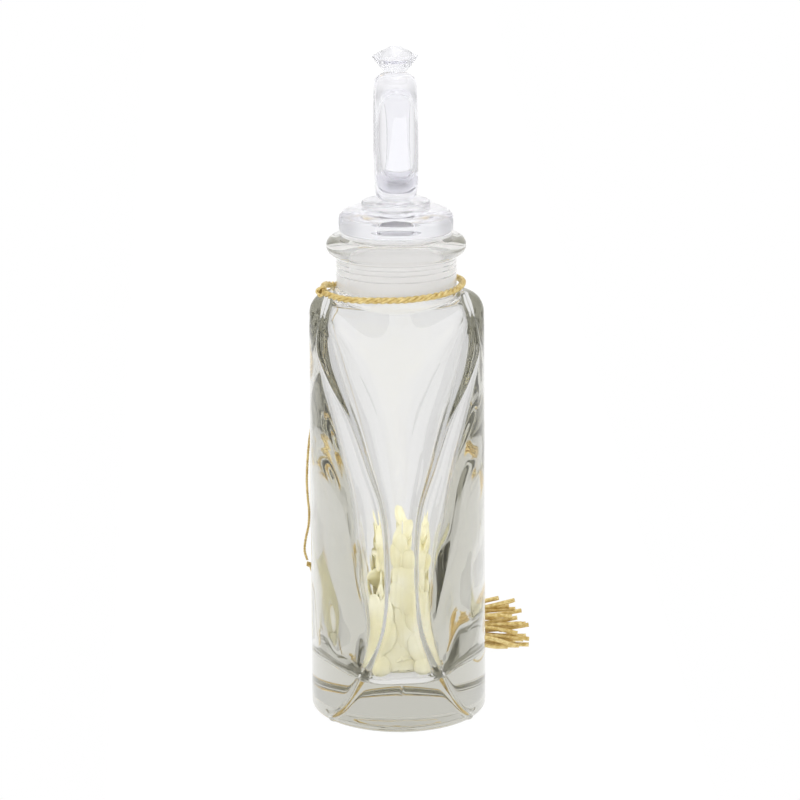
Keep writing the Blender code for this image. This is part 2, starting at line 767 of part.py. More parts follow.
def make_tassel(collection, cutters, gold):
    """Wound head, binding, and a skirt of strands held in a core."""
    start = Vector(TASSEL_START)
    along_x = (0, math.radians(90), 0)
    radius = TASSEL_HEAD_DIAMETER / 2
    head = [(0, 0.0)]
    for degrees in (-60, -35, -12, 12, 35, 58):
        angle = math.radians(degrees)
        reach = (math.sin(angle) + 1) / 2
        head.append((radius * math.cos(angle), -TASSEL_HEAD_LENGTH * reach))
    head += [(head[-1][0], -TASSEL_HEAD_LENGTH), (0, -TASSEL_HEAD_LENGTH)]
    turn_back = (0, math.radians(-90), 0)
    turned("tassel_head", head, gold, collection, 20, place=start, turn=turn_back)
    binding_x = start.x + TASSEL_HEAD_LENGTH + GAP
    bind = TASSEL_BINDING_DIAMETER / 2
    bevel = TASSEL_BINDING_LENGTH / 5
    length = TASSEL_BINDING_LENGTH
    binding = [(0, 0), (bind - bevel, 0), (bind, -bevel), (bind, bevel - length)]
    binding += [(bind - bevel, -length), (0, -length)]
    place = (binding_x, start.y, start.z)
    turned("tassel_binding", binding, gold, collection, 20, place=place, turn=turn_back)
    core_x = binding_x + TASSEL_BINDING_LENGTH + GAP
    shape = bmesh.new()
    bmesh.ops.create_cone(
        shape,
        cap_ends=True,
        segments=20,
        radius1=TASSEL_CORE_START_DIAMETER / 2,
        radius2=TASSEL_CORE_END_DIAMETER / 2,
        depth=TASSEL_CORE_LENGTH,
    )
    core_center = (core_x + TASSEL_CORE_LENGTH / 2, start.y, start.z)
    skirt = add_object(
        "tassel_skirt", mesh_from("tassel_skirt", shape), gold, collection, place=core_center, turn=along_x
    )
    strand_start = core_x + TASSEL_CORE_LENGTH - STRAND_ROOT
    number = 0
    for count, ring_radius in STRAND_RINGS:
        for index in range(count):
            trim = STRAND_TRIM * ((number * 7) % 5) / 4
            end_x = start.x + TASSEL_LENGTH - trim
            points = strand_points(index, count, ring_radius, strand_start, end_x)
            points = [point + Vector((0, start.y, start.z)) for point in points]
            add_strand(skirt, points, number, cutters, gold)
            number += 1


def add_strand(skirt, points, number, cutters, gold):
    """One strand, joined to the skirt by a Boolean union."""
    name = f"strand_{number:02d}"
    tube = make_tube(name + "_route", points, STRAND_DIAMETER, gold, cutters, 1)
    bpy.context.view_layer.update()
    graph = bpy.context.evaluated_depsgraph_get()
    mesh = bpy.data.meshes.new_from_object(tube.evaluated_get(graph))
    bpy.data.objects.remove(tube, do_unlink=True)
    shape = bmesh.new()
    shape.from_mesh(mesh)
    bmesh.ops.remove_doubles(shape, verts=shape.verts, dist=MERGE)
    strand = add_object(name, mesh_from(name, shape), gold, cutters)
    strand.hide_render = True
    strand.display_type = "WIRE"
    join = skirt.modifiers.new(name, "BOOLEAN")
    join.operation = "UNION"
    join.object = strand


def petal_shape(size):
    """A flat, rounded petal about its own centre."""
    shape = bmesh.new()
    bmesh.ops.create_uvsphere(shape, u_segments=PETAL_SIDES, v_segments=PETAL_RINGS, radius=0.5)
    bmesh.ops.scale(shape, vec=size, verts=shape.verts)
    return shape


def corners_and_faces(shape):
    """A shape's points and the point numbers of its faces; the shape is freed."""
    shape.verts.index_update()
    points = [vert.co.copy() for vert in shape.verts]
    faces = [[vert.index for vert in face.verts] for face in shape.faces]
    shape.free()
    return points, faces


def cavity_tree():
    """The search tree of the cavity's wall and floor."""
    shape = bmesh.new()
    rings = cavity_rings()
    loft(shape, rings, Vector((0, 0, BORE_BOTTOM)), Vector((0, 0, CAVITY_FLOOR + CAVITY_DOME)))
    return BVHTree.FromPolygons(*corners_and_faces(shape))


def drop(grown, turn, x, y, cavity, heap, ceiling):
    """Lowest height at which a petal let down from the ceiling touches nothing."""
    points = [turn @ point for point in grown[0]]
    near = [(place, tree) for place, tree in heap if math.hypot(place.x - x, place.y - y) < PETAL_REACH]

    def touches(height):
        move = Vector((x, y, height))
        tree = BVHTree.FromPolygons([point + move for point in points], grown[1])
        if tree.overlap(cavity):
            return True
        return any(abs(place.z - height) < PETAL_REACH and tree.overlap(other) for place, other in near)

    if touches(ceiling):
        return None
    height = ceiling
    while height > CAVITY_FLOOR and not touches(height - PETAL_STEP):
        height -= PETAL_STEP
    step = PETAL_STEP
    for _ in range(PETAL_FINE_STEPS):
        step /= 2
        if not touches(height - step):
            height -= step
    return height


def places_found(rng, size, cavity, heap, ceiling):
    """Resting heights, places and turns of a petal at a few tried spots."""
    grown = corners_and_faces(petal_shape([length + 2 * PETAL_CLEARANCE for length in size]))
    reach_x, reach_y = cavity_half_sizes(CAVITY_FLOOR + CAVITY_CORNER)
    found = []
    for _ in range(PETAL_TRIES):
        angle = rng.uniform(0, math.tau)
        share = math.sqrt(rng.uniform(0, 1))
        x = (reach_x - size[1] / 2) * share * math.cos(angle)
        y = (reach_y - size[0] / 2) * share * math.sin(angle)
        tilt = PETAL_TILT * rng.uniform(0.35, 1.25)
        lean = (tilt * math.cos(angle), tilt * math.sin(angle), rng.uniform(0, math.pi))
        turn = Euler(lean, "ZXY").to_matrix()
        height = drop(grown, turn, x, y, cavity, heap, ceiling)
        if height is not None:
            found.append((height, Vector((x, y, height)), turn))
    return found


def make_petals(collection, material):
    """Petals let fall one by one: of a few places tried for each, the lowest is kept."""
    rng = random.Random(PETAL_SEED)
    cavity = cavity_tree()
    heap = []
    ceiling = CAVITY_FLOOR + PETAL_SIZE[0]
    for number in range(PETAL_COUNT):
        growth = 1 + PETAL_SIZE_SPREAD_SHARE * rng.uniform(-1, 1)
        size = [length * growth for length in PETAL_SIZE]
        found = places_found(rng, size, cavity, heap, ceiling)
        while not found:
            size = [length * PETAL_SHRINK_SHARE for length in size]
            found = places_found(rng, size, cavity, heap, ceiling)
        height, place, turn = min(found, key=lambda choice: choice[0])
        ceiling = max(ceiling, height + PETAL_SIZE[0])
        matrix = Matrix.Translation(place) @ turn.to_4x4()
        mesh = mesh_from("petal", petal_shape(size))
        thing = add_object(f"petal_{number:02d}", mesh, material, collection)
        thing.matrix_world = matrix
        points, faces = corners_and_faces(petal_shape(size))
        heap.append((place, BVHTree.FromPolygons([matrix @ point for point in points], faces)))


def main():
    """Build the whole bottle."""
    clear_scene()
    parts = new_collection("aromatherapy_bottle")
    cutters = new_collection("cutters")
    glass = new_material("clear_glass", (0.93, 0.95, 0.93), 0.02, transmission=1.0, ior=1.5)
    plug = new_material("milky_plug", (0.86, 0.86, 0.85), 0.35, transmission=0.5)
    acrylic = new_material("clear_acrylic", (0.93, 0.93, 0.97), 0.03, transmission=1.0, ior=1.49)
    gold = new_material("gold_thread", (0.72, 0.50, 0.18), 0.38, metallic=0.35)
    wax = new_material("petal_wax", (0.86, 0.82, 0.58), 0.55)
    make_flask(parts, glass)
    seat = make_plug(parts, plug)
    seat = make_lower_disc(parts, acrylic, seat)
    seat = make_upper_disc(parts, acrylic, seat)
    seat = make_ring(parts, cutters, acrylic, seat)
    make_gem(parts, acrylic, seat)
    make_cords(parts, gold)
    make_tassel(parts, cutters, gold)
    make_petals(parts, wax)


main()
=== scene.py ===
import math
import random

import bmesh
import bpy
import numpy as np
from mathutils import Matrix, Vector, noise
from mathutils.bvhtree import BVHTree


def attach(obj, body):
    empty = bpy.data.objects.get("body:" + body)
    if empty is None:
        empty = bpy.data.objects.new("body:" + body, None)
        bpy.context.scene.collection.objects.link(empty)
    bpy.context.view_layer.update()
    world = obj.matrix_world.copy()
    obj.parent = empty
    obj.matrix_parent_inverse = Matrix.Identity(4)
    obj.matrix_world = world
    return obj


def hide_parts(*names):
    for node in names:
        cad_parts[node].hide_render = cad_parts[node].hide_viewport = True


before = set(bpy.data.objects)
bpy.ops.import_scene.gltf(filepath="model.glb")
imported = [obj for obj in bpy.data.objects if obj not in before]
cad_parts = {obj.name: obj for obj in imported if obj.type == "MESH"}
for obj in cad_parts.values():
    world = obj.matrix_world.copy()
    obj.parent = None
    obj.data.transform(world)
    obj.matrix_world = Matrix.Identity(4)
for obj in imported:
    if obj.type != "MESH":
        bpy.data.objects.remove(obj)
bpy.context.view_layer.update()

# Camera: a long lens a little above the bottle, a touch to the left of its narrow side.
CAMERA_DISTANCE = 1.45
CAMERA_HEIGHT = 0.408
CAMERA_AZIMUTH = math.radians(1.7)
CAMERA_TARGET = (0.0007, 0.0, 0.075)
CAMERA_LENS = 279.0
CAMERA_ROLL = math.radians(-0.33)
SENSOR = 36.0

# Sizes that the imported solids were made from, in metres.
BODY_DEPTH = 0.042
BODY_WIDTH = 0.058
PANEL_TOP = 0.0936
SHOULDER_TOP = 0.102
SHOULDER_SIDE_DROP = 0.0023
CORNER_INSET = 0.005
CORNER_DROP = 0.0058
SHOULDER_RIDGE_ANGLE = math.radians(12)
SLOPE_STEP = 0.0005
FOOT_RADIUS = 0.0012
PUSH_UP = 0.0012
PUSH_UP_REACH = 0.8
PUSH_UP_EASE = (0.5, 0.3)
PUSH_UP_STEPS = 15
FOOT_SHARES = (0.83, 0.86, 0.9, 0.93, 0.95)
FOOT_EDGE_DEGREES = (0, 10, 22, 36, 50, 64, 78)
WAIST_SHARES = (
    (0.0, 0.85), (0.05, 0.66), (0.14, 0.457), (0.27, 0.245), (0.456, 0.198), (0.584, 0.245),
    (0.684, 0.385), (0.807, 0.571), (0.897, 0.786), (0.94, 0.87),
)
WAIST_CREST_SHARES = (
    (0.0, 0.985), (0.14, 0.972), (0.27, 0.955), (0.456, 0.95), (0.584, 0.938), (0.684, 0.905),
    (0.807, 0.822), (0.897, 0.722), (0.94, 0.668),
)
NECK_DIAMETER = 0.0288
NECK_BORE = 0.0225
NECK_FILLET = 0.0016
LIP_DIAMETER = 0.0335
LIP_BEAD_RADIUS = 0.0022
LIP_TOP = 0.1153
LIP_INNER_ROUND = 0.001
LIP_NECK_GAP = 0.0004
LIP_DEGREES = (-80, -72, -62, -50, -38, -26, -14, -2, 10, 22, 34, 46, 58, 70, 80, 90)
WALL = 0.003
PANEL_WALL_TOP = 0.0038
PANEL_WALL_FOOT = 0.0105
# The scene's own cavity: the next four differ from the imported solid's, which is plainer.
PANEL_WALL_THICKENING = (
    (0.0, 1.0), (0.32, 0.957), (0.44, 0.87), (0.55, 0.7), (0.68, 0.41), (0.8, 0.17), (0.9, 0.045),
    (0.96, 0.0),
)
CAVITY_SQUARENESS = (
    (0.0, 4.4), (0.18, 3.6), (0.33, 3.0), (0.48, 2.9), (0.64, 3.0), (0.8, 3.1), (0.94, 3.2),
    (1.0, 3.2), (1.05, 2.5), (1.083, 2.0), (1.1, 2.0),
)
CAVITY_FLOOR = 0.0105
CAVITY_CORNER = 0.0042
# As in the imported solid, with the steps of the fine mesh.
CAVITY_DOME = 0.0006
CAVITY_STEP = 0.0014
CAVITY_CORNER_DEGREES = (12, 24, 36, 48, 60, 72, 82, 90)
CAVITY_FLOOR_SHARES = (0.85, 0.7, 0.5, 0.3, 0.12)
INNER_SHOULDER = 0.084
INNER_CORNER = 0.093
INNER_TOP = 0.1014
BORE_BOTTOM = 0.103

# Stopper, in metres.
GAP = 0.0003
PLUG_LENGTH = 0.0135
# The scene's own: the plug is pressed this far into the bore below the lip, and grooved.
PLUG_PRESS = 0.00004
PLUG_PRESS_DEPTH = 0.0036
PLUG_GROOVE = 0.0003
PLUG_GROOVE_HEIGHT = 0.0003
PLUG_GROOVE_DEPTHS = (0.0048, 0.0062, 0.0076, 0.0092)
# As in the imported solid.
PLUG_COLLAR_DIAMETER = 0.0266
PLUG_COLLAR_HEIGHT = 0.0007
PLUG_HOLLOW_DIAMETER = 0.0156
PLUG_HOLLOW_DEPTH = 0.0082
SPIGOT_DIAMETER = 0.008
SPIGOT_LENGTH = 0.0038
SPIGOT_CLEARANCE = 0.0003
LOWER_DISC_DIAMETER = 0.0274
LOWER_DISC_RIM = 0.0031
LOWER_DISC_HEIGHT = 0.0057
UPPER_DISC_DIAMETER = 0.0166
UPPER_DISC_HEIGHT = 0.0012
DISC_EDGE = 0.0006
UPPER_DISC_EDGE_SHARE = 0.8
DOME_TOP_DEGREES = 84
DOME_STEP_DEGREES = 6
RING_DIAMETER = 0.0314
RING_HOLE = 0.0202
RING_WIDTH = 0.01
RING_SINK = 0.0006
RING_SQUARENESS = 2.1
GEM_DIAMETER = 0.0108
GEM_TABLE = 0.0024
GEM_CROWN = 0.0022
GEM_GIRDLE = 0.0003
GEM_PAVILION = 0.0032
GEM_FOOT = 0.006
GEM_MAIN_FACETS = 8
GEM_PAVILION_MIDDLE = (0.62, 0.6)
GEM_CROWN_MIDDLE = (0.52, 0.585)
TURNED_SIDES = 128
TURNED_SHARP = math.radians(28)
RING_SHARP = math.radians(35)
RING_AROUND = 192
RING_ACROSS = 56
GROOVE_STEPS = 6

# Cord, thread and tassel, in metres.
CORD_DIAMETER = 0.0016
CORD_LAY = 0.0054
CORD_KNOT_PLACE = (-0.0180, -0.0066, 0.1032)
CORD_ROUTE = (
    (-0.0171, -0.0083, 0.1031), (-0.0160, -0.0103, 0.1030), (-0.0136, -0.0134, 0.1029),
    (-0.0102, -0.0151, 0.1028), (-0.0064, -0.0158, 0.1028), (-0.0024, -0.0164, 0.1029),
    (0.0016, -0.0165, 0.1030), (0.0064, -0.0150, 0.1032), (0.0108, -0.0120, 0.1034),
    (0.0140, -0.0075, 0.1036), (0.0157, -0.0015, 0.1037), (0.0155, 0.0040, 0.1036),
    (0.0128, 0.0097, 0.1034), (0.0080, 0.0141, 0.1030), (0.0014, 0.0162, 0.1024),
    (-0.0061, 0.0152, 0.1021), (-0.0114, 0.0118, 0.1018), (-0.0147, 0.0081, 0.1018),
    (-0.0168, 0.0040, 0.1027), (-0.0174, -0.0002, 0.1030), (-0.0176, -0.0044, 0.1031),
)
THREAD_DIAMETER = 0.0007
THREAD_LAY = 0.0014
THREAD_KNOT_PLACE = (-0.0214, 0.0080, 0.0326)
HANGING_ROUTE = (
    (-0.0131, 0.0120, 0.1028), (-0.0131, 0.0123, 0.1010), (-0.0132, 0.0128, 0.0980),
    (-0.0148, 0.0138, 0.0946), (-0.0167, 0.0147, 0.0921), (-0.0184, 0.0150, 0.0896),
    (-0.0194, 0.0144, 0.0862), (-0.0197, 0.0134, 0.0820), (-0.0197, 0.0126, 0.0770),
    (-0.0199, 0.0118, 0.0700), (-0.0206, 0.0108, 0.0655), (-0.0211, 0.0105, 0.0620),
    (-0.0215, 0.0100, 0.0575), (-0.0217, 0.0088, 0.0530), (-0.0215, 0.0081, 0.0490),
    (-0.0212, 0.0088, 0.0455), (-0.0214, 0.0084, 0.0422), (-0.0221, 0.0080, 0.0390),
    (-0.0224, 0.0080, 0.0360), (-0.0218, 0.0080, 0.0337),
)
LEAD_ROUTE = (
    (-0.0211, 0.0090, 0.0320), (-0.0206, 0.0112, 0.0300), (-0.0198, 0.0142, 0.0256),
    (-0.0183, 0.0190, 0.0185), (-0.0163, 0.0245, 0.0112), (-0.0148, 0.0300, 0.0055),
    (-0.0142, 0.0360, 0.0018), (-0.0146, 0.0405, 0.0008), (-0.0152, 0.0452, 0.0012),
    (-0.0150, 0.0495, 0.0025), (-0.0133, 0.0517, 0.0038), (-0.0112, 0.0520, 0.0041),
)
TASSEL_START = (-0.0107, 0.0520, 0.0041)
TASSEL_HEAD_LENGTH = 0.0072
TASSEL_HEAD_DIAMETER = 0.0068
TASSEL_BINDING_LENGTH = 0.0024
TASSEL_BINDING_DIAMETER = 0.0056
TASSEL_LENGTH = 0.0448
# The scene's own skirt: more strands, thicker and trimmed less evenly than the solid's.
STRAND_DIAMETER = 0.0011
STRAND_RINGS = ((1, 0.0), (6, 0.0012), (11, 0.0023), (14, 0.003))
STRAND_TRIM = 0.0055
STRAND_STRAY = 0.0038
STRAND_STEP_UP = 0.0042
STRAND_FAN = (0.6, 1.5)
STRAND_STRAY_SIDE = (-0.5, 0.5)
STRAND_STRAY_RISE = (-1, 0.7)
STRAND_SPREAD = (0.85, 0.75)
STRAND_WAVE = (0.0003, 3.1)
STRAND_FLOOR = 0.0002
STRAND_TWIST = 0.001
STRAND_SIDES = 10
STRAND_STEPS = 8
STRAND_SPACING = 0.0004
STRAND_SEED = 5
HEAD_STRANDS = 26
HEAD_STRAND_RADIUS = 0.00046
HEAD_SINK = 0.0004
HEAD_DEGREES = (-84, 52, 58)
HEAD_STEPS = 14

# Knots and bindings: each coil's radius, distance of its turns, turns and first angle, and the
# rope laid in it by diameter, strands, lay and sides.
CORD_KNOT_AXIS = (0.25, 1.0, -0.15)
CORD_KNOT_COIL = (0.00085, 0.00095, 2.6, 0.4)
CORD_KNOT_ROPE = (0.00105, 2, -0.003, 7)
CORD_TAIL = ((0.0005, -0.0002, 0.0011), (-0.0003, 0.0012, -0.0002), (-0.0002, 0.0018, -0.0009))
CORD_TAIL_STEP = 0.0003
CORD_TAIL_ROPE = (0.0009, 2, -0.003, 7)
THREAD_KNOT_AXIS = (0.2, 0.3, 1.0)
THREAD_KNOT_COIL = (0.00042, 0.0004, 2.4, 0.0)
THREAD_KNOT_ROPE = (0.00045, 2, -0.0014, 6)
BINDING_SINK = 0.00028
BINDING_COIL = (0.0005, 4.4, 0.3, 30)
BINDING_ROPE = (0.00056, 2, -0.0016, 6)
BINDING_CORE_SINK = 0.0004
STRAND_OVERLAP = 1.06
# Steps between two points of a route, and a direction that no route follows.
ROUTE_STEPS = 12
OFF_ROUTE = (0.31, 0.17, 0.94)

# Fine mesh of the glass, with its columns crowded at the ridges and the seam.
WAIST_COLUMNS = 26
PANEL_COLUMNS = 34
PANEL_CROWDING = 0.75
WAIST_CROWDING = 0.8
RISE_STEPS = 8
CORNER_STEPS = 18
EVENING_REACH = 0.035
EVENING_STEPS = 4
EVENING_SPREAD = 2.5
ROUNDING_STEPS = 6
ROUNDING_SPREAD = 3
BODY_STEP = 0.0012
RIDGE_ROUNDING = 0.00022
BEAD_HEIGHT = 0.0005
BEAD_WIDTH = 0.00095
SEAM_HEIGHT = 0.00015
SEAM_WIDTH = 0.0002
SEAM_TOP = 0.056
SEAM_WANDERS = ((0.00012, 900), (0.0001, 2100))
SEAM_FADE = 8
WAVES_SMALL = 0.0003
WAVES_BIG = 0.0014
WAVES_LOW = 0.035
WAVES_HIGH = 0.066
WAVES_SCALE = (90, 90, 55)


def smooth_table(table, share):
    """Value at a share along a table of (share, value), on a smooth curve through its points."""
    last = len(table) - 1
    share = min(max(share, table[0][0]), table[last][0])
    index = max(i for i in range(last) if table[i][0] <= share)

    def slope(i):
        low = table[max(i - 1, 0)]
        high = table[min(i + 1, last)]
        return (high[1] - low[1]) / (high[0] - low[0])

    start, end = table[index], table[index + 1]
    span = end[0] - start[0]
    t = (share - start[0]) / span
    rise = end[1] - start[1]
    a = slope(index) * span - rise
    b = rise - slope(index + 1) * span
    return start[1] + t * rise + t * (1 - t) * ((1 - t) * a + t * b)


def evened_table(table, share):
    """The table's value averaged over a short reach, so that its slope has no kinks."""
    total = 0.0
    weights = 0.0
    for i in range(-EVENING_STEPS, EVENING_STEPS + 1):
        weight = math.exp(-((i / EVENING_SPREAD) ** 2))
        at = share + EVENING_REACH * i / EVENING_STEPS
        low, high = table[0][0], table[-1][0]
        inside = min(max(at, low), high)
        value = smooth_table(table, inside)
        if at < low:
            value = 2 * table[0][1] - smooth_table(table, 2 * low - at)
        if at > high:
            value = 2 * table[-1][1] - smooth_table(table, 2 * high - at)
        total += weight * value
        weights += weight
    return total / weights


def smooth_step(t):
    """Ease from 0 to 1."""
    t = min(max(t, 0.0), 1.0)
    return t * t * (3 - 2 * t)


def blend(a, b, t):
    """Straight mix of two values."""
    return a + (b - a) * t


def carry_on(start, slope, end, t, end_slope=0.0):
    """Smooth curve from start to end that begins with the given slope."""
    t2, t3 = t * t, t * t * t
    leaving = slope * (t3 - 2 * t2 + t) + end_slope * (t3 - t2)
    return start * (2 * t3 - 3 * t2 + 1) + end * (3 * t2 - 2 * t3) + leaving


RIDGE_ANGLE = math.radians(52.5)


class Level:
    """One closed section of the glass: reach along X, reach along Y, ridge, bow and end heights."""

    def __init__(self, depth, crest, ridge, bow, rise):
        self.depth = depth
        self.crest = crest
        self.ridge = ridge
        self.bow = bow
        self.rise = rise

    def quarter(self):
        """Points from the X end to the Y end, close together at the ridge and at the seam."""
        ridge_x, ridge_y = self.ridge
        panel_reach = ridge_y / math.sqrt(1 - (ridge_x / self.depth) ** 2)
        ridge_angle = math.acos(ridge_x / self.depth)
        points = []
        for i in range(PANEL_COLUMNS):
            share = math.sin(math.pi / 2 * i / PANEL_COLUMNS)
            angle = ridge_angle * blend(i / PANEL_COLUMNS, share, PANEL_CROWDING)
            points.append((self.depth * math.cos(angle), panel_reach * math.sin(angle)))
        for i in range(WAIST_COLUMNS + 1):
            even = 1 - i / WAIST_COLUMNS
            eased = (1 + math.cos(math.pi * i / WAIST_COLUMNS)) / 2
            points.append(self.waist_point(blend(even, eased, WAIST_CROWDING)))
        return points

    def waist_point(self, share):
        """Point of the waist part, from 0 at its middle to 1 at the ridge."""
        ridge_x, ridge_y = self.ridge
        root = math.sqrt(self.bow)
        t = math.sin(share * math.asin(root)) / root
        fall = (1 - math.sqrt(1 - self.bow * t * t)) / (1 - math.sqrt(1 - self.bow))
        return ridge_x * t, self.crest - (self.crest - ridge_y) * fall

    def ring(self, scale=1.0, lift=0.0):
        """The whole section as an array of points, counterclockwise from +X."""
        quarter = self.quarter()
        mirrored = [(-x, y) for x, y in reversed(quarter[:-1])]
        half = quarter + mirrored
        whole = np.array(half + [(-x, -y) for x, y in half[1:-1]])
        share = whole[:, 1] ** 2 / (whole**2).sum(axis=1)
        height = blend(self.rise[0], self.rise[1], share) + lift
        return np.column_stack([whole * scale, height])


def round_level(radius, height, ridge_angle=RIDGE_ANGLE):
    """A circular section, with the ridge's column at the given angle from X."""
    ridge = (radius * math.cos(ridge_angle), radius * math.sin(ridge_angle))
    return Level(radius, radius, ridge, math.cos(ridge_angle) ** 2, (height, height))


def body_level(share):
    """The body's section at a share of the panel's height."""
    half_depth = BODY_DEPTH / 2
    half_width = BODY_WIDTH / 2
    ridge_share = evened_table(WAIST_SHARES, share)
    ridge = (half_depth * ridge_share, half_width * math.sqrt(1 - ridge_share**2))
    crest = half_width * evened_table(WAIST_CREST_SHARES, share)
    height = PANEL_TOP * share
    return Level(half_depth, crest, ridge, ridge_share**2, (height, height))


def foot_rings():
    """The push-up, the flat ring that the glass stands on, and the rounded foot edge."""
    foot = body_level(FOOT_RADIUS / PANEL_TOP)
    flat = Level(foot.depth, foot.crest, foot.ridge, foot.bow, (0.0, 0.0))
    ease_start, ease_span = PUSH_UP_EASE
    rings = []
    for i in range(1, PUSH_UP_STEPS + 1):
        share = PUSH_UP_REACH * i / PUSH_UP_STEPS
        rise = PUSH_UP * (1 - smooth_step((share - ease_start) / ease_span))
        rings.append(flat.ring(share, rise))
    rings += [flat.ring(share) for share in FOOT_SHARES]
    for degrees in FOOT_EDGE_DEGREES:
        angle = math.radians(degrees)
        inset = 1 - FOOT_RADIUS * (1 - math.sin(angle)) / foot.depth
        rings.append(flat.ring(inset, FOOT_RADIUS * (1 - math.cos(angle))))
    return rings


def shoulder_levels():
    """Sections from the top of the panels round the shoulder corners to the neck's fillet."""
    start = body_level(WAIST_SHARES[-1][0])
    below = body_level(WAIST_SHARES[-1][0] - SLOPE_STEP / PANEL_TOP)
    neck = NECK_DIAMETER / 2
    corner_z = SHOULDER_TOP - CORNER_DROP
    flat_x = start.depth - CORNER_INSET
    fillet_x = neck + NECK_FILLET
    heights = [blend(start.rise[0], corner_z, i / RISE_STEPS) for i in range(RISE_STEPS + 1)]
    side = [(start.depth, height) for height in heights]
    for step in range(1, CORNER_STEPS + 1):
        angle = math.radians(90) * step / CORNER_STEPS
        reach = flat_x + CORNER_INSET * math.cos(angle)
        side.append((reach, corner_z + CORNER_DROP * math.sin(angle)))
    for i in (1, 2):
        side.append((blend(flat_x, fillet_x, i / 2), SHOULDER_TOP))
    lengths = [0.0]
    for (x0, z0), (x1, z1) in zip(side, side[1:]):
        lengths.append(lengths[-1] + math.hypot(x1 - x0, z1 - z0))
    end = round_level(fillet_x, SHOULDER_TOP, SHOULDER_RIDGE_ANGLE)
    crest_end_z = SHOULDER_TOP - SHOULDER_SIDE_DROP
    crest_slope = (start.crest - below.crest) / SLOPE_STEP * (crest_end_z - start.rise[1])
    ridge_slope = [(a - b) / SLOPE_STEP * lengths[-1] for a, b in zip(start.ridge, below.ridge)]
    levels = []
    for (depth, height), length in list(zip(side, lengths))[1:]:
        t = length / lengths[-1]
        crest = carry_on(start.crest, crest_slope, fillet_x, t, (fillet_x - start.crest) / 2)
        crest_z = blend(start.rise[1], crest_end_z, t)
        ends = zip(start.ridge, ridge_slope, end.ridge)
        ridge = tuple(carry_on(value, slope, last, t) for value, slope, last in ends)
        levels.append(Level(depth, crest, ridge, blend(start.bow, end.bow, t), (height, crest_z)))
    return levels


def neck_levels():
    """Fillet, neck, rolled lip and bore, from the shoulder up and down into the bore."""
    neck = NECK_DIAMETER / 2
    bore = NECK_BORE / 2
    fillet_end = SHOULDER_TOP + NECK_FILLET
    levels = []
    for degrees in (15, 30, 45, 60, 75, 90):
        angle = math.radians(degrees)
        radius = neck + NECK_FILLET * (1 - math.sin(angle))
        height = fillet_end - NECK_FILLET * math.cos(angle)
        level = round_level(radius, height, blend(SHOULDER_RIDGE_ANGLE, RIDGE_ANGLE, degrees / 90))
        level.rise = (height, height - SHOULDER_SIDE_DROP * (1 - smooth_step(degrees / 90)))
        levels.append(level)
    bead_x = LIP_DIAMETER / 2 - LIP_BEAD_RADIUS
    bead_z = LIP_TOP - LIP_BEAD_RADIUS
    neck_end = bead_z - LIP_BEAD_RADIUS - LIP_NECK_GAP
    for i in range(1, 5):
        levels.append(round_level(neck, blend(fillet_end, neck_end, i / 4)))
    for degrees in LIP_DEGREES:
        angle = math.radians(degrees)
        radius = bead_x + LIP_BEAD_RADIUS * math.cos(angle)
        levels.append(round_level(radius, bead_z + LIP_BEAD_RADIUS * math.sin(angle)))
    for degrees in (0, 15, 30, 45, 60, 75, 90):
        angle = math.radians(degrees)
        radius = bore + LIP_INNER_ROUND * (1 - math.sin(angle))
        levels.append(round_level(radius, LIP_TOP - LIP_INNER_ROUND * (1 - math.cos(angle))))
    for i in range(1, 7):
        levels.append(round_level(bore, blend(LIP_TOP - LIP_INNER_ROUND, BORE_BOTTOM, i / 6)))
    return levels


def inner_half_width(height):
    """Half width of the cavity below its shoulder."""
    return BODY_WIDTH / 2 * evened_table(WAIST_CREST_SHARES, height / PANEL_TOP) - WALL


def cavity_half_sizes(height):
    """Half depth and half width of the cavity at a height, above its floor's rounding."""
    bore = NECK_BORE / 2
    thickening = evened_table(PANEL_WALL_THICKENING, height / PANEL_TOP)
    widest = BODY_DEPTH / 2 - blend(PANEL_WALL_TOP, PANEL_WALL_FOOT, thickening)
    corner = min(max((height - INNER_CORNER) / (INNER_TOP - INNER_CORNER), 0.0), 1.0)
    half_depth = blend(bore, widest, math.sqrt(1 - corner**2))
    if height <= INNER_SHOULDER:
        return half_depth, inner_half_width(height)
    start = inner_half_width(INNER_SHOULDER)
    span = BORE_BOTTOM - INNER_SHOULDER
    slope = (start - inner_half_width(INNER_SHOULDER - SLOPE_STEP)) / SLOPE_STEP * span
    t = min((height - INNER_SHOULDER) / span, 1.0)
    return half_depth, carry_on(start, slope, bore, t)


def cavity_ring(half_depth, half_width, height):
    """A ring of the cavity, round at the bore and flatter at its ends further down."""
    power = 2 / smooth_table(CAVITY_SQUARENESS, height / PANEL_TOP)
    points = round_level(1.0, 0.0).ring()
    points[:, 0] = np.sign(points[:, 0]) * np.abs(points[:, 0]) ** power * half_depth
    points[:, 1] = np.sign(points[:, 1]) * np.abs(points[:, 1]) ** power * half_width
    points[:, 2] = height
    return points


def cavity_rings():
    """The cavity's wall from the bore down to its rounded floor."""
    rings = []
    wall_end = CAVITY_FLOOR + CAVITY_CORNER
    steps = round((BORE_BOTTOM - wall_end) / CAVITY_STEP)
    for i in range(1, steps + 1):
        height = blend(BORE_BOTTOM, wall_end, i / steps)
        rings.append(cavity_ring(*cavity_half_sizes(height), height))
    half_depth, half_width = cavity_half_sizes(wall_end)
    for degrees in CAVITY_CORNER_DEGREES:
        angle = math.radians(degrees)
        inset = CAVITY_CORNER * (1 - math.cos(angle))
        height = wall_end - CAVITY_CORNER * math.sin(angle)
        rings.append(cavity_ring(half_depth - inset, half_width - inset, height))
    for share in CAVITY_FLOOR_SHARES:
        inner = ((half_depth - CAVITY_CORNER) * share, (half_width - CAVITY_CORNER) * share)
        rings.append(cavity_ring(*inner, CAVITY_FLOOR + CAVITY_DOME * (1 - share)))
    return rings


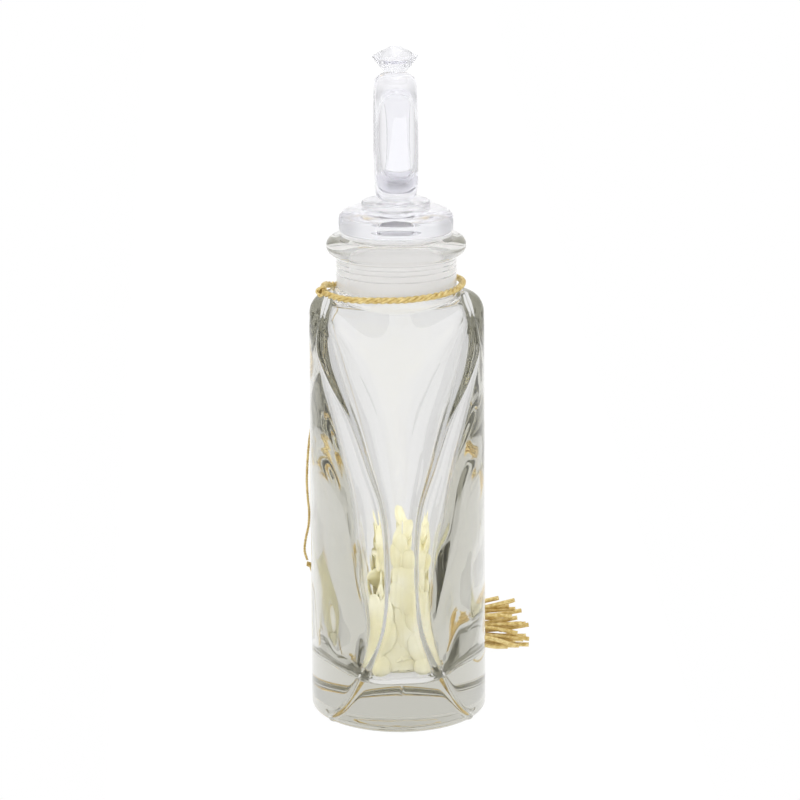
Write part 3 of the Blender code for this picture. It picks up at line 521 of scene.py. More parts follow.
def lengths_along(points):
    """Length of a path up to each of its points."""
    steps = np.linalg.norm(np.diff(points, axis=0), axis=1)
    return np.concatenate([[0.0], np.cumsum(steps)])


def closed(ring):
    """The ring with its first point once more at its end."""
    return np.vstack([ring, ring[:1]])


def with_bead(ring):
    """The ring with a low rounded bead standing up along its two front ridges."""
    count = len(ring)
    quarter = PANEL_COLUMNS + WAIST_COLUMNS
    along = np.roll(ring, -1, axis=0) - np.roll(ring, 1, axis=0)
    normal = np.column_stack([along[:, 1], -along[:, 0]])
    normal /= np.linalg.norm(normal, axis=1)[:, None]
    place = lengths_along(closed(ring))
    total = place[-1]
    place = place[:-1]
    lift = np.zeros(count)
    for ridge in (2 * quarter + PANEL_COLUMNS, count - PANEL_COLUMNS):
        away = np.abs(place - place[ridge])
        away = np.minimum(away, total - away)
        lift += BEAD_HEIGHT * np.exp(-((away / BEAD_WIDTH) ** 2))
    ring = ring.copy()
    ring[:, :2] += normal * lift[:, None]
    return ring


def rounded(ring, reach):
    """The ring with its corners rounded, by averaging along its length."""
    whole = closed(ring)
    length = lengths_along(whole)
    result = np.zeros_like(ring)
    weights = 0.0
    for i in range(-ROUNDING_STEPS, ROUNDING_STEPS + 1):
        weight = math.exp(-((i / ROUNDING_SPREAD) ** 2) / 2)
        at = (length[:-1] + reach * i / ROUNDING_SPREAD) % length[-1]
        for axis in range(3):
            result[:, axis] += weight * np.interp(at, length, whole[:, axis])
        weights += weight
    return result / weights


def with_seam(ring):
    """The ring with the fine, slightly wandering mould seam up the front narrow side."""
    wander = sum(reach * np.sin(ring[:, 2] * pace) for reach, pace in SEAM_WANDERS)
    fade = smooth_step((SEAM_TOP - ring[0][2]) / SEAM_TOP * SEAM_FADE)
    bump = SEAM_HEIGHT * fade * np.exp(-(((ring[:, 0] - wander) / SEAM_WIDTH) ** 2))
    ring = ring.copy()
    ring[:, 1] -= np.where(ring[:, 1] < 0, bump, 0.0)
    return ring


def uneven(ring, amount):
    """The ring moved in and out a little by long soft waves."""
    moved = ring.copy()
    for k, point in enumerate(ring):
        at = Vector([value * scale for value, scale in zip(point, WAVES_SCALE)])
        push = noise.noise(at) * amount
        away = Vector((point[0], point[1], 0)).normalized()
        moved[k, 0] += away.x * push
        moved[k, 1] += away.y * push
    return moved


def mesh_object(name, verts, faces, material, smooth=True):
    """A mesh object in the scene."""
    mesh = bpy.data.meshes.new(name)
    mesh.from_pydata([tuple(v) for v in verts], [], [tuple(f) for f in faces])
    mesh.update()
    if smooth:
        mesh.shade_smooth()
    mesh.materials.append(material)
    thing = bpy.data.objects.new(name, mesh)
    bpy.context.scene.collection.objects.link(thing)
    return thing


def joined(low, high, count):
    """Faces between two rings of the same count, given by the indices of their first points."""
    pairs = [(i, (i + 1) % count) for i in range(count)]
    return [(low + i, high + i, high + j, low + j) for i, j in pairs]


def joined_over(low, high, count):
    """The same faces, seen from the other side."""
    return [(a, d, c, b) for a, b, c, d in joined(low, high, count)]


def lofted(name, rings, start_tip, end_tip, material):
    """A closed skin through rings of equal count, ended on two tips."""
    count = len(rings[0])
    verts = np.vstack(rings + [np.array([start_tip, end_tip])])
    first_tip = len(rings) * count
    last = first_tip - count
    faces = []
    for i in range(count):
        j = (i + 1) % count
        faces.append((first_tip, j, i))
        faces.append((first_tip + 1, last + i, last + j))
    for r in range(len(rings) - 1):
        faces += joined_over(r * count, (r + 1) * count, count)
    return mesh_object(name, verts, faces, material)


def cavity_wall():
    """The cavity's rings with the soft waves of blown glass."""
    rings = []
    for ring in cavity_rings():
        low = 1 - smooth_step((ring[0][2] - WAVES_LOW) / (WAVES_HIGH - WAVES_LOW))
        rings.append(uneven(ring, blend(WAVES_SMALL, WAVES_BIG, low)))
    return rings


def make_glass(material):
    """The glass flask in full detail."""
    outer = foot_rings()
    top_share = WAIST_SHARES[-1][0]
    bottom_share = FOOT_RADIUS / PANEL_TOP
    steps = round((top_share - bottom_share) * PANEL_TOP / BODY_STEP)
    for i in range(steps + 1):
        outer.append(body_level(blend(bottom_share, top_share, i / steps)).ring())
    outer += [level.ring() for level in shoulder_levels()]
    outer = [with_seam(with_bead(rounded(ring, RIDGE_ROUNDING))) for ring in outer]
    rings = outer + [level.ring() for level in neck_levels()]
    rings += cavity_wall()
    tips = ((0, 0, PUSH_UP), (0, 0, CAVITY_FLOOR + CAVITY_DOME))
    belongs(lofted("flask_glass", rings, *tips, material), "bottle", "bottle_glass", "glass_bottle")


def lathe(name, outline, material):
    """A piece turned round Z from an outline whose two ends lie on the axis."""
    sides = TURNED_SIDES
    rings = outline[1:-1]
    angles = np.arange(sides) * (math.tau / sides)
    verts = [(0, 0, outline[0][1]), (0, 0, outline[-1][1])]
    for radius, height in rings:
        verts += [(radius * math.cos(a), radius * math.sin(a), height) for a in angles]
    last = 2 + (len(rings) - 1) * sides
    faces = []
    for i in range(sides):
        j = (i + 1) % sides
        faces.append((0, 2 + i, 2 + j))
        faces.append((1, last + j, last + i))
    for top in range(2, last, sides):
        faces += joined(top, top + sides, sides)
    thing = mesh_object(name, verts, faces, material)
    thing.data.set_sharp_from_angle(angle=TURNED_SHARP)
    return thing


def arc(center, radius, start, end, steps):
    """Points of an arc in an outline, by degrees from the outward direction up."""
    points = []
    for i in range(steps + 1):
        angle = math.radians(blend(start, end, i / steps))
        points.append((center[0] + radius * math.cos(angle), center[1] + radius * math.sin(angle)))
    return points


def belongs(thing, body, slot, *nodes):
    """Let the piece ride on its body and stand for its CAD nodes, which are hidden; the slot is not
    used.
    """
    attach(thing, body)
    if nodes:
        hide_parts(*nodes)
    return thing


def make_plug(material):
    """The soft plug with rounded ribs, its hollow and its socket."""
    collar_bottom = LIP_TOP + GAP
    top = collar_bottom + PLUG_COLLAR_HEIGHT
    bottom = LIP_TOP - PLUG_LENGTH
    stem = NECK_BORE / 2 + PLUG_PRESS
    socket = SPIGOT_DIAMETER / 2 + SPIGOT_CLEARANCE
    socket_floor = top - SPIGOT_LENGTH - GAP
    hollow = PLUG_HOLLOW_DIAMETER / 2
    collar = PLUG_COLLAR_DIAMETER / 2
    round_off = PLUG_COLLAR_HEIGHT / 4
    outline = [(0, socket_floor), (socket, socket_floor), (socket, top)]
    outline += arc((collar - round_off, top - round_off), round_off, 90, 0, 5)
    outline += arc((collar - round_off, collar_bottom + round_off), round_off, 0, -90, 5)
    free = stem - PLUG_PRESS - GAP
    pressed = LIP_TOP - PLUG_PRESS_DEPTH
    outline += [(free, collar_bottom), (free, pressed + GAP), (stem, pressed)]
    for depth in PLUG_GROOVE_DEPTHS:
        for i in range(GROOVE_STEPS + 1):
            share = i / GROOVE_STEPS
            height = LIP_TOP - depth + PLUG_GROOVE_HEIGHT * (0.5 - share)
            outline.append((stem - PLUG_GROOVE * math.sin(math.pi * share), height))
    outline += arc((stem - 2 * round_off, bottom + 2 * round_off), 2 * round_off, 0, -90, 6)
    outline += arc((hollow + round_off, bottom + round_off), round_off, -90, -180, 5)
    outline += arc((hollow - round_off, bottom + PLUG_HOLLOW_DEPTH - round_off), round_off, 0, 90, 5)
    outline.append((0, bottom + PLUG_HOLLOW_DEPTH))
    belongs(lathe("plug", outline, material), "stopper", "plug_plastic", "stopper_plug")
    return top


def make_discs(material, seat):
    """The wide disc with a domed top and its spigot, and the small disc on it."""
    bottom = seat + GAP
    top = bottom + LOWER_DISC_HEIGHT
    rim_top = bottom + LOWER_DISC_RIM
    radius = LOWER_DISC_DIAMETER / 2
    flat = UPPER_DISC_DIAMETER / 2
    edge = DISC_EDGE
    spigot_end = seat - SPIGOT_LENGTH + GAP
    outline = [(0, top), (flat, top)]
    for degrees in range(DOME_TOP_DEGREES, -1, -DOME_STEP_DEGREES):
        angle = math.radians(degrees)
        reach = blend(flat, radius, math.cos(angle))
        outline.append((reach, blend(rim_top, top, math.sin(angle))))
    outline += arc((radius - edge, bottom + edge), edge, 0, -90, 8)
    outline += [(SPIGOT_DIAMETER / 2, bottom)]
    outline += arc((SPIGOT_DIAMETER / 2 - edge / 2, spigot_end + edge / 2), edge / 2, 0, -90, 5)
    outline.append((0, spigot_end))
    belongs(lathe("lower_disc", outline, material), "stopper", "stopper_acrylic", "stopper_lower_disc")
    bottom = top + GAP
    top = bottom + UPPER_DISC_HEIGHT
    round_off = edge * UPPER_DISC_EDGE_SHARE
    outline = [(0, top)]
    outline += arc((flat - round_off, top - round_off), round_off, 90, 0, 8)
    outline += arc((flat - round_off / 2, bottom + round_off / 2), round_off / 2, 0, -90, 5)
    outline.append((0, bottom))
    belongs(lathe("upper_disc", outline, material), "stopper", "stopper_acrylic", "stopper_upper_disc")
    return top


def make_ring(material, seat):
    """The finger ring on edge across the wide side, cut flat where it stands on the disc."""
    outer = RING_DIAMETER / 2
    inner = RING_HOLE / 2
    middle = (outer + inner) / 2
    half_band = (outer - inner) / 2
    foot = seat + GAP
    center = foot - RING_SINK + outer
    around, across = RING_AROUND, RING_ACROSS
    verts = []
    for i in range(around):
        turn = math.tau * i / around
        for k in range(across):
            angle = math.tau * (k + 0.5) / across
            power = 2 / RING_SQUARENESS
            reach = math.copysign(abs(math.cos(angle)) ** power, math.cos(angle))
            side = math.copysign(abs(math.sin(angle)) ** power, math.sin(angle))
            radius = middle + half_band * reach
            x = RING_WIDTH / 2 * side
            verts.append((x, radius * math.sin(turn), center - radius * math.cos(turn)))
    faces = []
    for i in range(around):
        faces += joined(i * across, ((i + 1) % around) * across, across)
    thing = mesh_object("finger_ring", verts, faces, material)
    shape = bmesh.new()
    shape.from_mesh(thing.data)
    bmesh.ops.recalc_face_normals(shape, faces=shape.faces)
    everything = shape.verts[:] + shape.edges[:] + shape.faces[:]
    cut = bmesh.ops.bisect_plane(
        shape, geom=everything, plane_co=(0, 0, foot), plane_no=(0, 0, -1), clear_outer=True
    )
    rim = [part for part in cut["geom_cut"] if isinstance(part, bmesh.types.BMEdge)]
    bmesh.ops.contextual_create(shape, geom=rim)
    shape.to_mesh(thing.data)
    shape.free()
    thing.data.shade_smooth()
    thing.data.set_sharp_from_angle(angle=RING_SHARP)
    belongs(thing, "stopper", "stopper_acrylic", "stopper_ring")
    return center + outer


def make_gem(material, seat):
    """The brilliant-cut gem: table, star, bezel, girdle and pavilion facets."""
    bottom = seat + GAP
    girdle = bottom + GEM_PAVILION
    crown = girdle + GEM_GIRDLE
    edge = GEM_DIAMETER / 2
    table = GEM_TABLE / 2
    foot = GEM_FOOT / 2
    top = crown + GEM_CROWN
    low_out, low_up = GEM_PAVILION_MIDDLE
    high_in, high_up = GEM_CROWN_MIDDLE
    layers = (
        (foot, bottom, GEM_MAIN_FACETS, 0.0),
        (blend(foot, edge, low_out), blend(bottom, girdle, low_up), GEM_MAIN_FACETS, 0.5),
        (edge, girdle, GEM_MAIN_FACETS * 2, 0.0),
        (edge, crown, GEM_MAIN_FACETS * 2, 0.0),
        (blend(edge, table, high_in), blend(crown, top, high_up), GEM_MAIN_FACETS, 0.0),
        (table, top, GEM_MAIN_FACETS, 0.5),
    )
    shape = bmesh.new()
    for radius, height, count, shift in layers:
        for i in range(count):
            angle = math.tau * (i + shift) / count
            shape.verts.new((radius * math.cos(angle), radius * math.sin(angle), height))
    bmesh.ops.convex_hull(shape, input=shape.verts)
    bmesh.ops.recalc_face_normals(shape, faces=shape.faces)
    thing = mesh_object("gem", [], [], material, False)
    shape.to_mesh(thing.data)
    shape.free()
    belongs(thing, "stopper", "stopper_acrylic", "stopper_gem")


def route_points(route, spacing):
    """Evenly spaced points on a smooth curve through the route."""
    stops = [Vector(point) for point in route]
    fine = []
    for i in range(len(stops) - 1):
        before = stops[max(i - 1, 0)]
        after = stops[min(i + 2, len(stops) - 1)]
        span = (stops[i + 1] - stops[i]).length
        lead_in = (stops[i + 1] - before).normalized() * span
        lead_out = (after - stops[i]).normalized() * span
        for step in range(ROUTE_STEPS):
            t = step / ROUTE_STEPS
            t2, t3 = t * t, t * t * t
            fine.append(
                stops[i] * (2 * t3 - 3 * t2 + 1)
                + lead_in * (t3 - 2 * t2 + t)
                + stops[i + 1] * (3 * t2 - 2 * t3)
                + lead_out * (t3 - t2)
            )
    fine.append(stops[-1])
    fine = np.array([tuple(point) for point in fine])
    lengths = lengths_along(fine)
    count = max(2, round(lengths[-1] / spacing))
    places = np.linspace(0, lengths[-1], count + 1)
    return np.column_stack([np.interp(places, lengths, fine[:, axis]) for axis in range(3)])


def side_axes(points):
    """Two unit vectors across each point of a path, carried along it without twist."""
    along = np.gradient(points, axis=0)
    along /= np.linalg.norm(along, axis=1)[:, None]
    first = np.cross(along[0], OFF_ROUTE)
    first /= np.linalg.norm(first)
    sides = [first]
    for direction in along[1:]:
        side = sides[-1] - direction * np.dot(sides[-1], direction)
        sides.append(side / np.linalg.norm(side))
    sides = np.array(sides)
    return sides, np.cross(along, sides)


class Skin:
    """Vertices, faces and texture coordinates gathered for one mesh of many tubes."""

    def __init__(self):
        self.verts = []
        self.faces = []
        self.uvs = []

    def tube(self, points, radius, sides=8):
        """Add a capped round tube; its texture runs in metres along and in turns around."""
        across, over = side_axes(points)
        length = lengths_along(points)
        start = len(self.verts)
        for k in range(len(points)):
            for i in range(sides):
                angle = math.tau * i / sides
                spoke = across[k] * math.cos(angle) + over[k] * math.sin(angle)
                self.verts.append(points[k] + spoke * radius)
        for k in range(len(points) - 1):
            low = start + k * sides
            self.faces += joined_over(low, low + sides, sides)
            a, b = length[k], length[k + 1]
            for i in range(sides):
                left, right = i / sides, (i + 1) / sides
                self.uvs += [(a, left), (a, right), (b, right), (b, left)]
        last = start + (len(points) - 1) * sides
        self.faces.append(tuple(range(start + sides - 1, start - 1, -1)))
        self.faces.append(tuple(range(last, last + sides)))
        self.uvs += [(0.0, 0.0)] * (2 * sides)

    def rope(self, points, diameter, strands, lay, sides=8):
        """Add twisted strands that together have the given diameter."""
        packing = 1 + 1 / math.sin(math.pi / strands)
        strand = diameter / 2 / packing
        reach = diameter / 2 - strand
        across, over = side_axes(points)
        length = lengths_along(points)
        for number in range(strands):
            angle = math.tau * (number / strands + length / lay)
            spoke = across * np.cos(angle)[:, None] + over * np.sin(angle)[:, None]
            self.tube(points + spoke * reach, strand * STRAND_OVERLAP, sides)

    def object(self, name, material):
        """The gathered mesh as an object."""
        thing = mesh_object(name, self.verts, self.faces, material)
        layer = thing.data.uv_layers.new(name="lay")
        layer.data.foreach_set("uv", np.array(self.uvs).ravel())
        return thing

    def cordage(self, name, material, node):
        """The gathered mesh as a piece of gold cord on the bottle, in place of its CAD node."""
        return belongs(self.object(name, material), "bottle", "gold_cord", node)


def coil(center, axis, radius, thickness, turns, tilt, steps_per_turn=18):
    """Points of a short coil round an axis, for knots and bindings."""
    axis = Vector(axis).normalized()
    side = axis.orthogonal().normalized()
    over = axis.cross(side)
    points = []
    count = max(6, round(turns * steps_per_turn))
    for i in range(count + 1):
        t = i / count
        angle = math.tau * turns * t + tilt
        shift = (t - 0.5) * turns * thickness
        spoke = side * math.cos(angle) + over * math.sin(angle)
        points.append(tuple(Vector(center) + spoke * radius + axis * shift))
    return np.array(points)


def make_neck_cord(gold):
    """The twisted cord round the neck and the wound knot that closes it."""
    skin = Skin()
    skin.rope(route_points(CORD_ROUTE, CORD_DIAMETER / 7), CORD_DIAMETER, 3, -CORD_LAY, 10)
    skin.cordage("neck_rope", gold, "neck_cord")
    skin = Skin()
    skin.rope(coil(CORD_KNOT_PLACE, CORD_KNOT_AXIS, *CORD_KNOT_COIL), *CORD_KNOT_ROPE)
    tail = [tuple(Vector(CORD_KNOT_PLACE) + Vector(end)) for end in CORD_TAIL]
    skin.rope(route_points(tail, CORD_TAIL_STEP), *CORD_TAIL_ROPE)
    skin.cordage("cord_knot_wound", gold, "cord_knot")


def make_ply(name, route, gold, node):
    """A fine two-ply thread along the route, with the points that it follows."""
    points = route_points(route, THREAD_DIAMETER / 2.2)
    skin = Skin()
    skin.rope(points, THREAD_DIAMETER, 2, -THREAD_LAY, 6)
    return skin.cordage(name, gold, node), points


def make_thread(gold):
    """The thread that hangs from the knot, its own knot and the lead to the tassel."""
    drop = make_ply("hanging_ply", HANGING_ROUTE, gold, "hanging_thread")
    skin = Skin()
    skin.rope(coil(THREAD_KNOT_PLACE, THREAD_KNOT_AXIS, *THREAD_KNOT_COIL), *THREAD_KNOT_ROPE)
    knot = skin.cordage("thread_knot_wound", gold, "thread_knot")
    return drop, knot, make_ply("lead_ply", LEAD_ROUTE, gold, "tassel_lead")


def make_head(start, gold):
    """The tassel's head, wound with strands from end to end."""
    skin = Skin()
    first, last, full = HEAD_DEGREES
    reach_at_end = math.sin(math.radians(full)) + 1
    for number in range(HEAD_STRANDS):
        turn = math.tau * number / HEAD_STRANDS
        points = []
        for i in range(HEAD_STEPS + 1):
            angle = math.radians(blend(first, last, i / HEAD_STEPS))
            reach = (math.sin(angle) + 1) / reach_at_end
            away = (TASSEL_HEAD_DIAMETER / 2 - HEAD_SINK) * math.cos(angle)
            along = TASSEL_HEAD_LENGTH * min(reach, 1.0)
            place = (along, away * math.cos(turn), away * math.sin(turn))
            points.append(tuple(start + Vector(place)))
        skin.tube(np.array(points), HEAD_STRAND_RADIUS, 6)
    return skin.cordage("tassel_head_strands", gold, "tassel_head")


def make_binding(middle, gold):
    """The tassel's binding: a wound thread over a core."""
    skin = Skin()
    bind = TASSEL_BINDING_DIAMETER / 2
    skin.rope(coil(middle, (1, 0, 0), bind - BINDING_SINK, *BINDING_COIL), *BINDING_ROPE)
    half = Vector((TASSEL_BINDING_LENGTH / 2, 0, 0))
    ends = (middle - half, middle + half)
    core = np.array([tuple(ends[0].lerp(ends[1], i / 4)) for i in range(5)])
    skin.tube(core, bind - BINDING_CORE_SINK, 20)
    return skin.cordage("tassel_binding_turns", gold, "tassel_binding")


def make_skirt(start, skirt_x, gold):
    """The tassel's skirt of loose strands that fans out on the table."""
    skin = Skin()
    rng = random.Random(STRAND_SEED)
    half = STRAND_DIAMETER / 2
    for count, ring in STRAND_RINGS:
        for index in range(count):
            turn = math.tau * (index + 0.25 * ring / STRAND_TWIST) / count
            step_up = max(math.sin(turn) * ring / (TASSEL_HEAD_DIAMETER / 2), 0)
            trim = STRAND_TRIM * rng.random() ** 1.5 + STRAND_STEP_UP * step_up
            end_x = start.x + TASSEL_LENGTH - trim
            side = math.cos(turn) * ring
            rise = math.sin(turn) * ring
            spread_end = 1.0 + rng.uniform(*STRAND_FAN) * STRAND_SPREAD[1]
            stray_side = STRAND_STRAY * rng.uniform(*STRAND_STRAY_SIDE)
            stray_rise = STRAND_STRAY * rng.uniform(*STRAND_STRAY_RISE)
            points = []
            for i in range(STRAND_STEPS + 1):
                t = i / STRAND_STEPS
                spread = blend(STRAND_SPREAD[0], spread_end, smooth_step(t))
                wave = STRAND_WAVE[0] * math.sin(STRAND_WAVE[1] * t + index) * t
                y = start.y + side * spread + wave + stray_side * t**3
                z = start.z + rise * spread + wave + stray_rise * t**3
                points.append((blend(skirt_x, end_x, t), y, max(z, half + STRAND_FLOOR)))
            skin.tube(route_points(points, STRAND_SPACING), half, STRAND_SIDES)
    return skin.cordage("tassel_skirt_strands", gold, "tassel_skirt")


def make_tassel(gold):
    """Wound head, binding and skirt."""
    start = Vector(TASSEL_START)
    middle = start + Vector((TASSEL_HEAD_LENGTH + GAP + TASSEL_BINDING_LENGTH / 2, 0, 0))
    skirt_x = middle.x + TASSEL_BINDING_LENGTH / 2
    return [make_head(start, gold), make_binding(middle, gold), make_skirt(start, skirt_x, gold)]


def make_cords(gold):
    """All the cordage, with the hanging thread and the lead."""
    make_neck_cord(gold)
    (drop, hanging), knot, (lead, lead_points) = make_thread(gold)
    tassel = make_tassel(gold)


# Petals of the heap: mesh, how far they narrow, wave, cup and bend, and share of the solid's
# thickness.
PETAL_RINGS = 9
PETAL_SIDES = 30
PETAL_TAPER = 0.1
PETAL_RIM_WAVE = 0.05
PETAL_CUP = 0.15
PETAL_BEND = 0.0004
PETAL_THICKNESS = 0.95
PETAL_SEED = 3


def shell_faces(rings, sides):
    """Faces of two layers of rings, one over the other, joined along their outer edge."""
    per = rings * sides
    faces = []
    for low in range(0, per - sides, sides):
        quads = joined(low, low + sides, sides)
        faces += quads
        faces += [tuple(corner + per for corner in reversed(quad)) for quad in quads]
    return faces + joined(per - sides, 2 * per - sides, sides)


def petal_mesh(name, center, axes, half_sizes, bend, material):
    """A soft-edged, slightly cupped petal with a gently wavy rim."""
    rings, sides = PETAL_RINGS, PETAL_SIDES
    length, width, thickness = half_sizes
    verts = []
    for layer in (1, -1):
        for r in range(1, rings + 1):
            share = math.sin(math.pi / 2 * r / rings)
            for i in range(sides):
                angle = math.tau * i / sides
                narrow = 1 - PETAL_TAPER * math.cos(angle) * share
                rim = 1 + PETAL_RIM_WAVE * math.sin(3 * angle + bend * 9) * share
                x = length * share * math.cos(angle) * rim
                y = width * share * math.sin(angle) * narrow * rim
                thick = thickness * PETAL_THICKNESS * math.sqrt(max(1 - share**3, 0.0))
                bent = bend * PETAL_BEND * math.cos(2 * angle) * share**2
                cup = thickness * PETAL_CUP * (share**2 - 0.4) + bent
                verts.append((x, y, cup + layer * thick))
    verts += [(0, 0, thickness * (PETAL_THICKNESS * layer - 0.4 * PETAL_CUP)) for layer in (1, -1)]
    per = rings * sides
    faces = shell_faces(rings, sides)
    for i in range(sides):
        j = (i + 1) % sides
        faces.append((2 * per, i, j))
        faces.append((per + j, per + i, 2 * per + 1))
    placed = np.array(verts) @ np.array(axes) + np.array(center)
    return mesh_object(name, placed, faces, material)


def make_petals(wax):
    """One cupped wax petal in the place of each solid petal of the heap."""
    rng = random.Random(PETAL_SEED)
    for name, node in sorted(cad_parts.items()):
        if not name.startswith("petal_"):
            continue
        points = np.array([tuple(vert.co) for vert in node.data.vertices])
        world = node.matrix_world
        points = points @ np.array(world.to_3x3()).T + np.array(world.translation)
        center = (points.max(axis=0) + points.min(axis=0)) / 2
        _, _, axes = np.linalg.svd(points - center, full_matrices=False)
        if axes[2][2] < 0:
            axes = -axes
        if np.linalg.det(axes) < 0:
            axes[0] = -axes[0]
        half = np.abs((points - center) @ axes.T).max(axis=0)
        thing = petal_mesh("wax_" + name, center, axes, half, rng.uniform(-1, 1), wax)
        belongs(thing, "bottle", "petal_wax", name)


# Petals that lie against the glass: half length, half width, half thickness, how far apart
# they are round the wall, and for each row its height, the petals' size as a share, and how
# far from the middle plane they go. The draws move, size and lift each one a little.
WALL_PETAL = (0.0056, 0.0048, 0.0004)
WALL_PETAL_STEP = 0.0074
WALL_PETAL_ROWS = (
    (0.0148, 0.85, 1.0), (0.0190, 1.0, 1.0), (0.0232, 1.0, 1.0), (0.0274, 0.95, 1.0),
    (0.0312, 0.8, 0.0040), (0.0345, 0.7, 0.0034), (0.0378, 0.65, 0.0030), (0.0411, 0.6, 0.0028),
    (0.0440, 0.55, 0.0026),
)
WALL_PETAL_LIFT = 0.0009
WALL_PETAL_SHIFT = 0.0012
WALL_PETAL_STRAY_LIFT = 0.0004
WALL_PETAL_SIZES = (0.85, 1.15)
WALL_PETAL_RINGS = 7
WALL_PETAL_SIDES = 24
WALL_PETAL_CURL = 0.0004
WALL_PETAL_SEED = 8
BACK_PETALS_TOP = 0.038


def wall_petal(tree, center, along, up, inward, size, turn, lift):
    """Points of a thin petal bent to the cavity's wall."""
    sides = WALL_PETAL_SIDES
    half_length, half_width, half_thickness = WALL_PETAL
    points = []
    for layer in (1, -1):
        for r in range(WALL_PETAL_RINGS + 1):
            share = math.sin(math.pi / 2 * r / WALL_PETAL_RINGS)
            for i in range(sides):
                angle = math.tau * i / sides
                rim = 1 + PETAL_RIM_WAVE * math.sin(3 * angle + turn * 7) * share
                u = half_length * size * share * math.cos(angle) * rim
                v = half_width * size * share * math.sin(angle) * rim
                side = u * math.cos(turn) - v * math.sin(turn)
                rise = u * math.sin(turn) + v * math.cos(turn)
                spot, normal, _, _ = tree.find_nearest(center + along * side + up * rise)
                if normal.dot(inward) < 0:
                    normal = -normal
                thick = half_thickness * math.sqrt(max(1 - share**4, 0.0))
                curl = WALL_PETAL_CURL * share**2
                points.append(tuple(spot + normal * (lift + layer * thick + curl)))
    return points


def make_wall_petals(wax):
    """Petals that lie flat against the glass all round the heap, over one another like scales."""
    rings = cavity_wall()
    count = len(rings[0])
    skin = []
    for r in range(len(rings) - 1):
        skin += joined(r * count, (r + 1) * count, count)
    tree = BVHTree.FromPolygons([Vector(p) for p in np.vstack(rings)], skin)
    rng = random.Random(WALL_PETAL_SEED)
    shift = WALL_PETAL_SHIFT
    petal_faces = shell_faces(WALL_PETAL_RINGS + 1, WALL_PETAL_SIDES)
    verts, faces = [], []
    for row, (height, share, reach) in enumerate(WALL_PETAL_ROWS):
        index = min(range(len(rings)), key=lambda k: abs(rings[k][0][2] - height))
        ring = rings[index]
        places = lengths_along(closed(ring))
        number = round(places[-1] / (WALL_PETAL_STEP * share))
        for k in range(number):
            at = (k + 0.5 * (row % 2)) / number * places[-1] + rng.uniform(-shift, shift)
            spot = min(int(np.searchsorted(places, at % places[-1])), count) - 1
            if abs(ring[spot][0]) > reach or (height > BACK_PETALS_TOP and ring[spot][1] > 0):
                continue
            center = Vector(ring[spot]) + Vector((0, 0, rng.uniform(-shift, shift)))
            along = (Vector(ring[(spot + 1) % count]) - Vector(ring[spot - 1])).normalized()
            up = (Vector(rings[index - 1][spot]) - Vector(rings[index + 1][spot])).normalized()
            inward = along.cross(up).normalized()
            if inward.dot(center) > 0:
                inward = -inward
            stray = rng.uniform(0, WALL_PETAL_STRAY_LIFT)
            lift = WALL_PETAL_LIFT + WALL_PETAL_LIFT * ((row + k) % 2) + stray
            size = share * rng.uniform(*WALL_PETAL_SIZES)
            turn = rng.uniform(0, math.tau)
            faces += [tuple(len(verts) + v for v in face) for face in petal_faces]
            verts += wall_petal(tree, center, along, up, inward, size, turn, lift)
    belongs(mesh_object("wax_wall_petals", verts, faces, wax), "bottle", "petal_wax")


def set_inputs(tree, node, inputs):
    """Give a node its inputs: plain values, or the outputs of other nodes."""
    for key, value in inputs.items():
        if isinstance(value, bpy.types.NodeSocket):
            tree.links.new(value, node.inputs[key])
        else:
            node.inputs[key].default_value = value


def add_node(tree, kind, inputs=None, **settings):
    """A new node with its settings and inputs."""
    node = tree.nodes.new("ShaderNode" + kind)
    for name, value in settings.items():
        setattr(node, name, value)
    set_inputs(tree, node, inputs or {})
    return node


def add_math(tree, operation, *values):
    """The output of a new math node."""
    return add_node(tree, "Math", dict(enumerate(values)), operation=operation).outputs[0]


def add_ramp(tree, source, stops, interpolation="LINEAR"):
    """The colour of a ramp over the source, through stops of a position and a grey or a colour."""
    node = add_node(tree, "ValToRGB", {0: source})
    band = node.color_ramp
    band.interpolation = interpolation
    colors = [(place, value if isinstance(value, tuple) else (value,) * 3) for place, value in stops]
    ends = (colors[0], colors[-1])
    for element, (place, color) in zip(list(band.elements), ends):
        element.position = place
        element.color = (*color, 1)
    for place, color in colors[1:-1]:
        band.elements.new(place).color = (*color, 1)
    return node.outputs[0]


def new_material(name, sockets):
    """A node material with its values set on the shader's own sockets."""
    material = bpy.data.materials.new(name)
    material.use_nodes = True
    shader = material.node_tree.nodes["Principled BSDF"]
    set_inputs(material.node_tree, shader, sockets)
    return material, material.node_tree, shader


def clear_material(name, color, ior, absorb, density, clarity):
    """Clear glass or acrylic, tinted by its thickness."""
    sockets = {"Base Color": (*color, 1), "Roughness": 0.0, "IOR": ior, "Transmission Weight": clarity}
    material, tree, _ = new_material(name, sockets)
    volume = add_node(tree, "VolumeAbsorption", {"Color": (*absorb, 1), "Density": density})
    tree.links.new(volume.outputs["Volume"], tree.nodes["Material Output"].inputs["Volume"])
    return material


def plug_material():
    """Milky, half clear plastic that lets the light of the backdrop through."""
    sockets = {
        "Base Color": (0.7, 0.695, 0.695, 1),
        "Roughness": 0.35,
        "IOR": 1.3,
        "Transmission Weight": 0.2,
        "Subsurface Weight": 1.0,
        "Subsurface Radius": (1, 1, 1),
        "Subsurface Scale": 0.004,
    }
    return new_material("milky_plastic", sockets)[0]


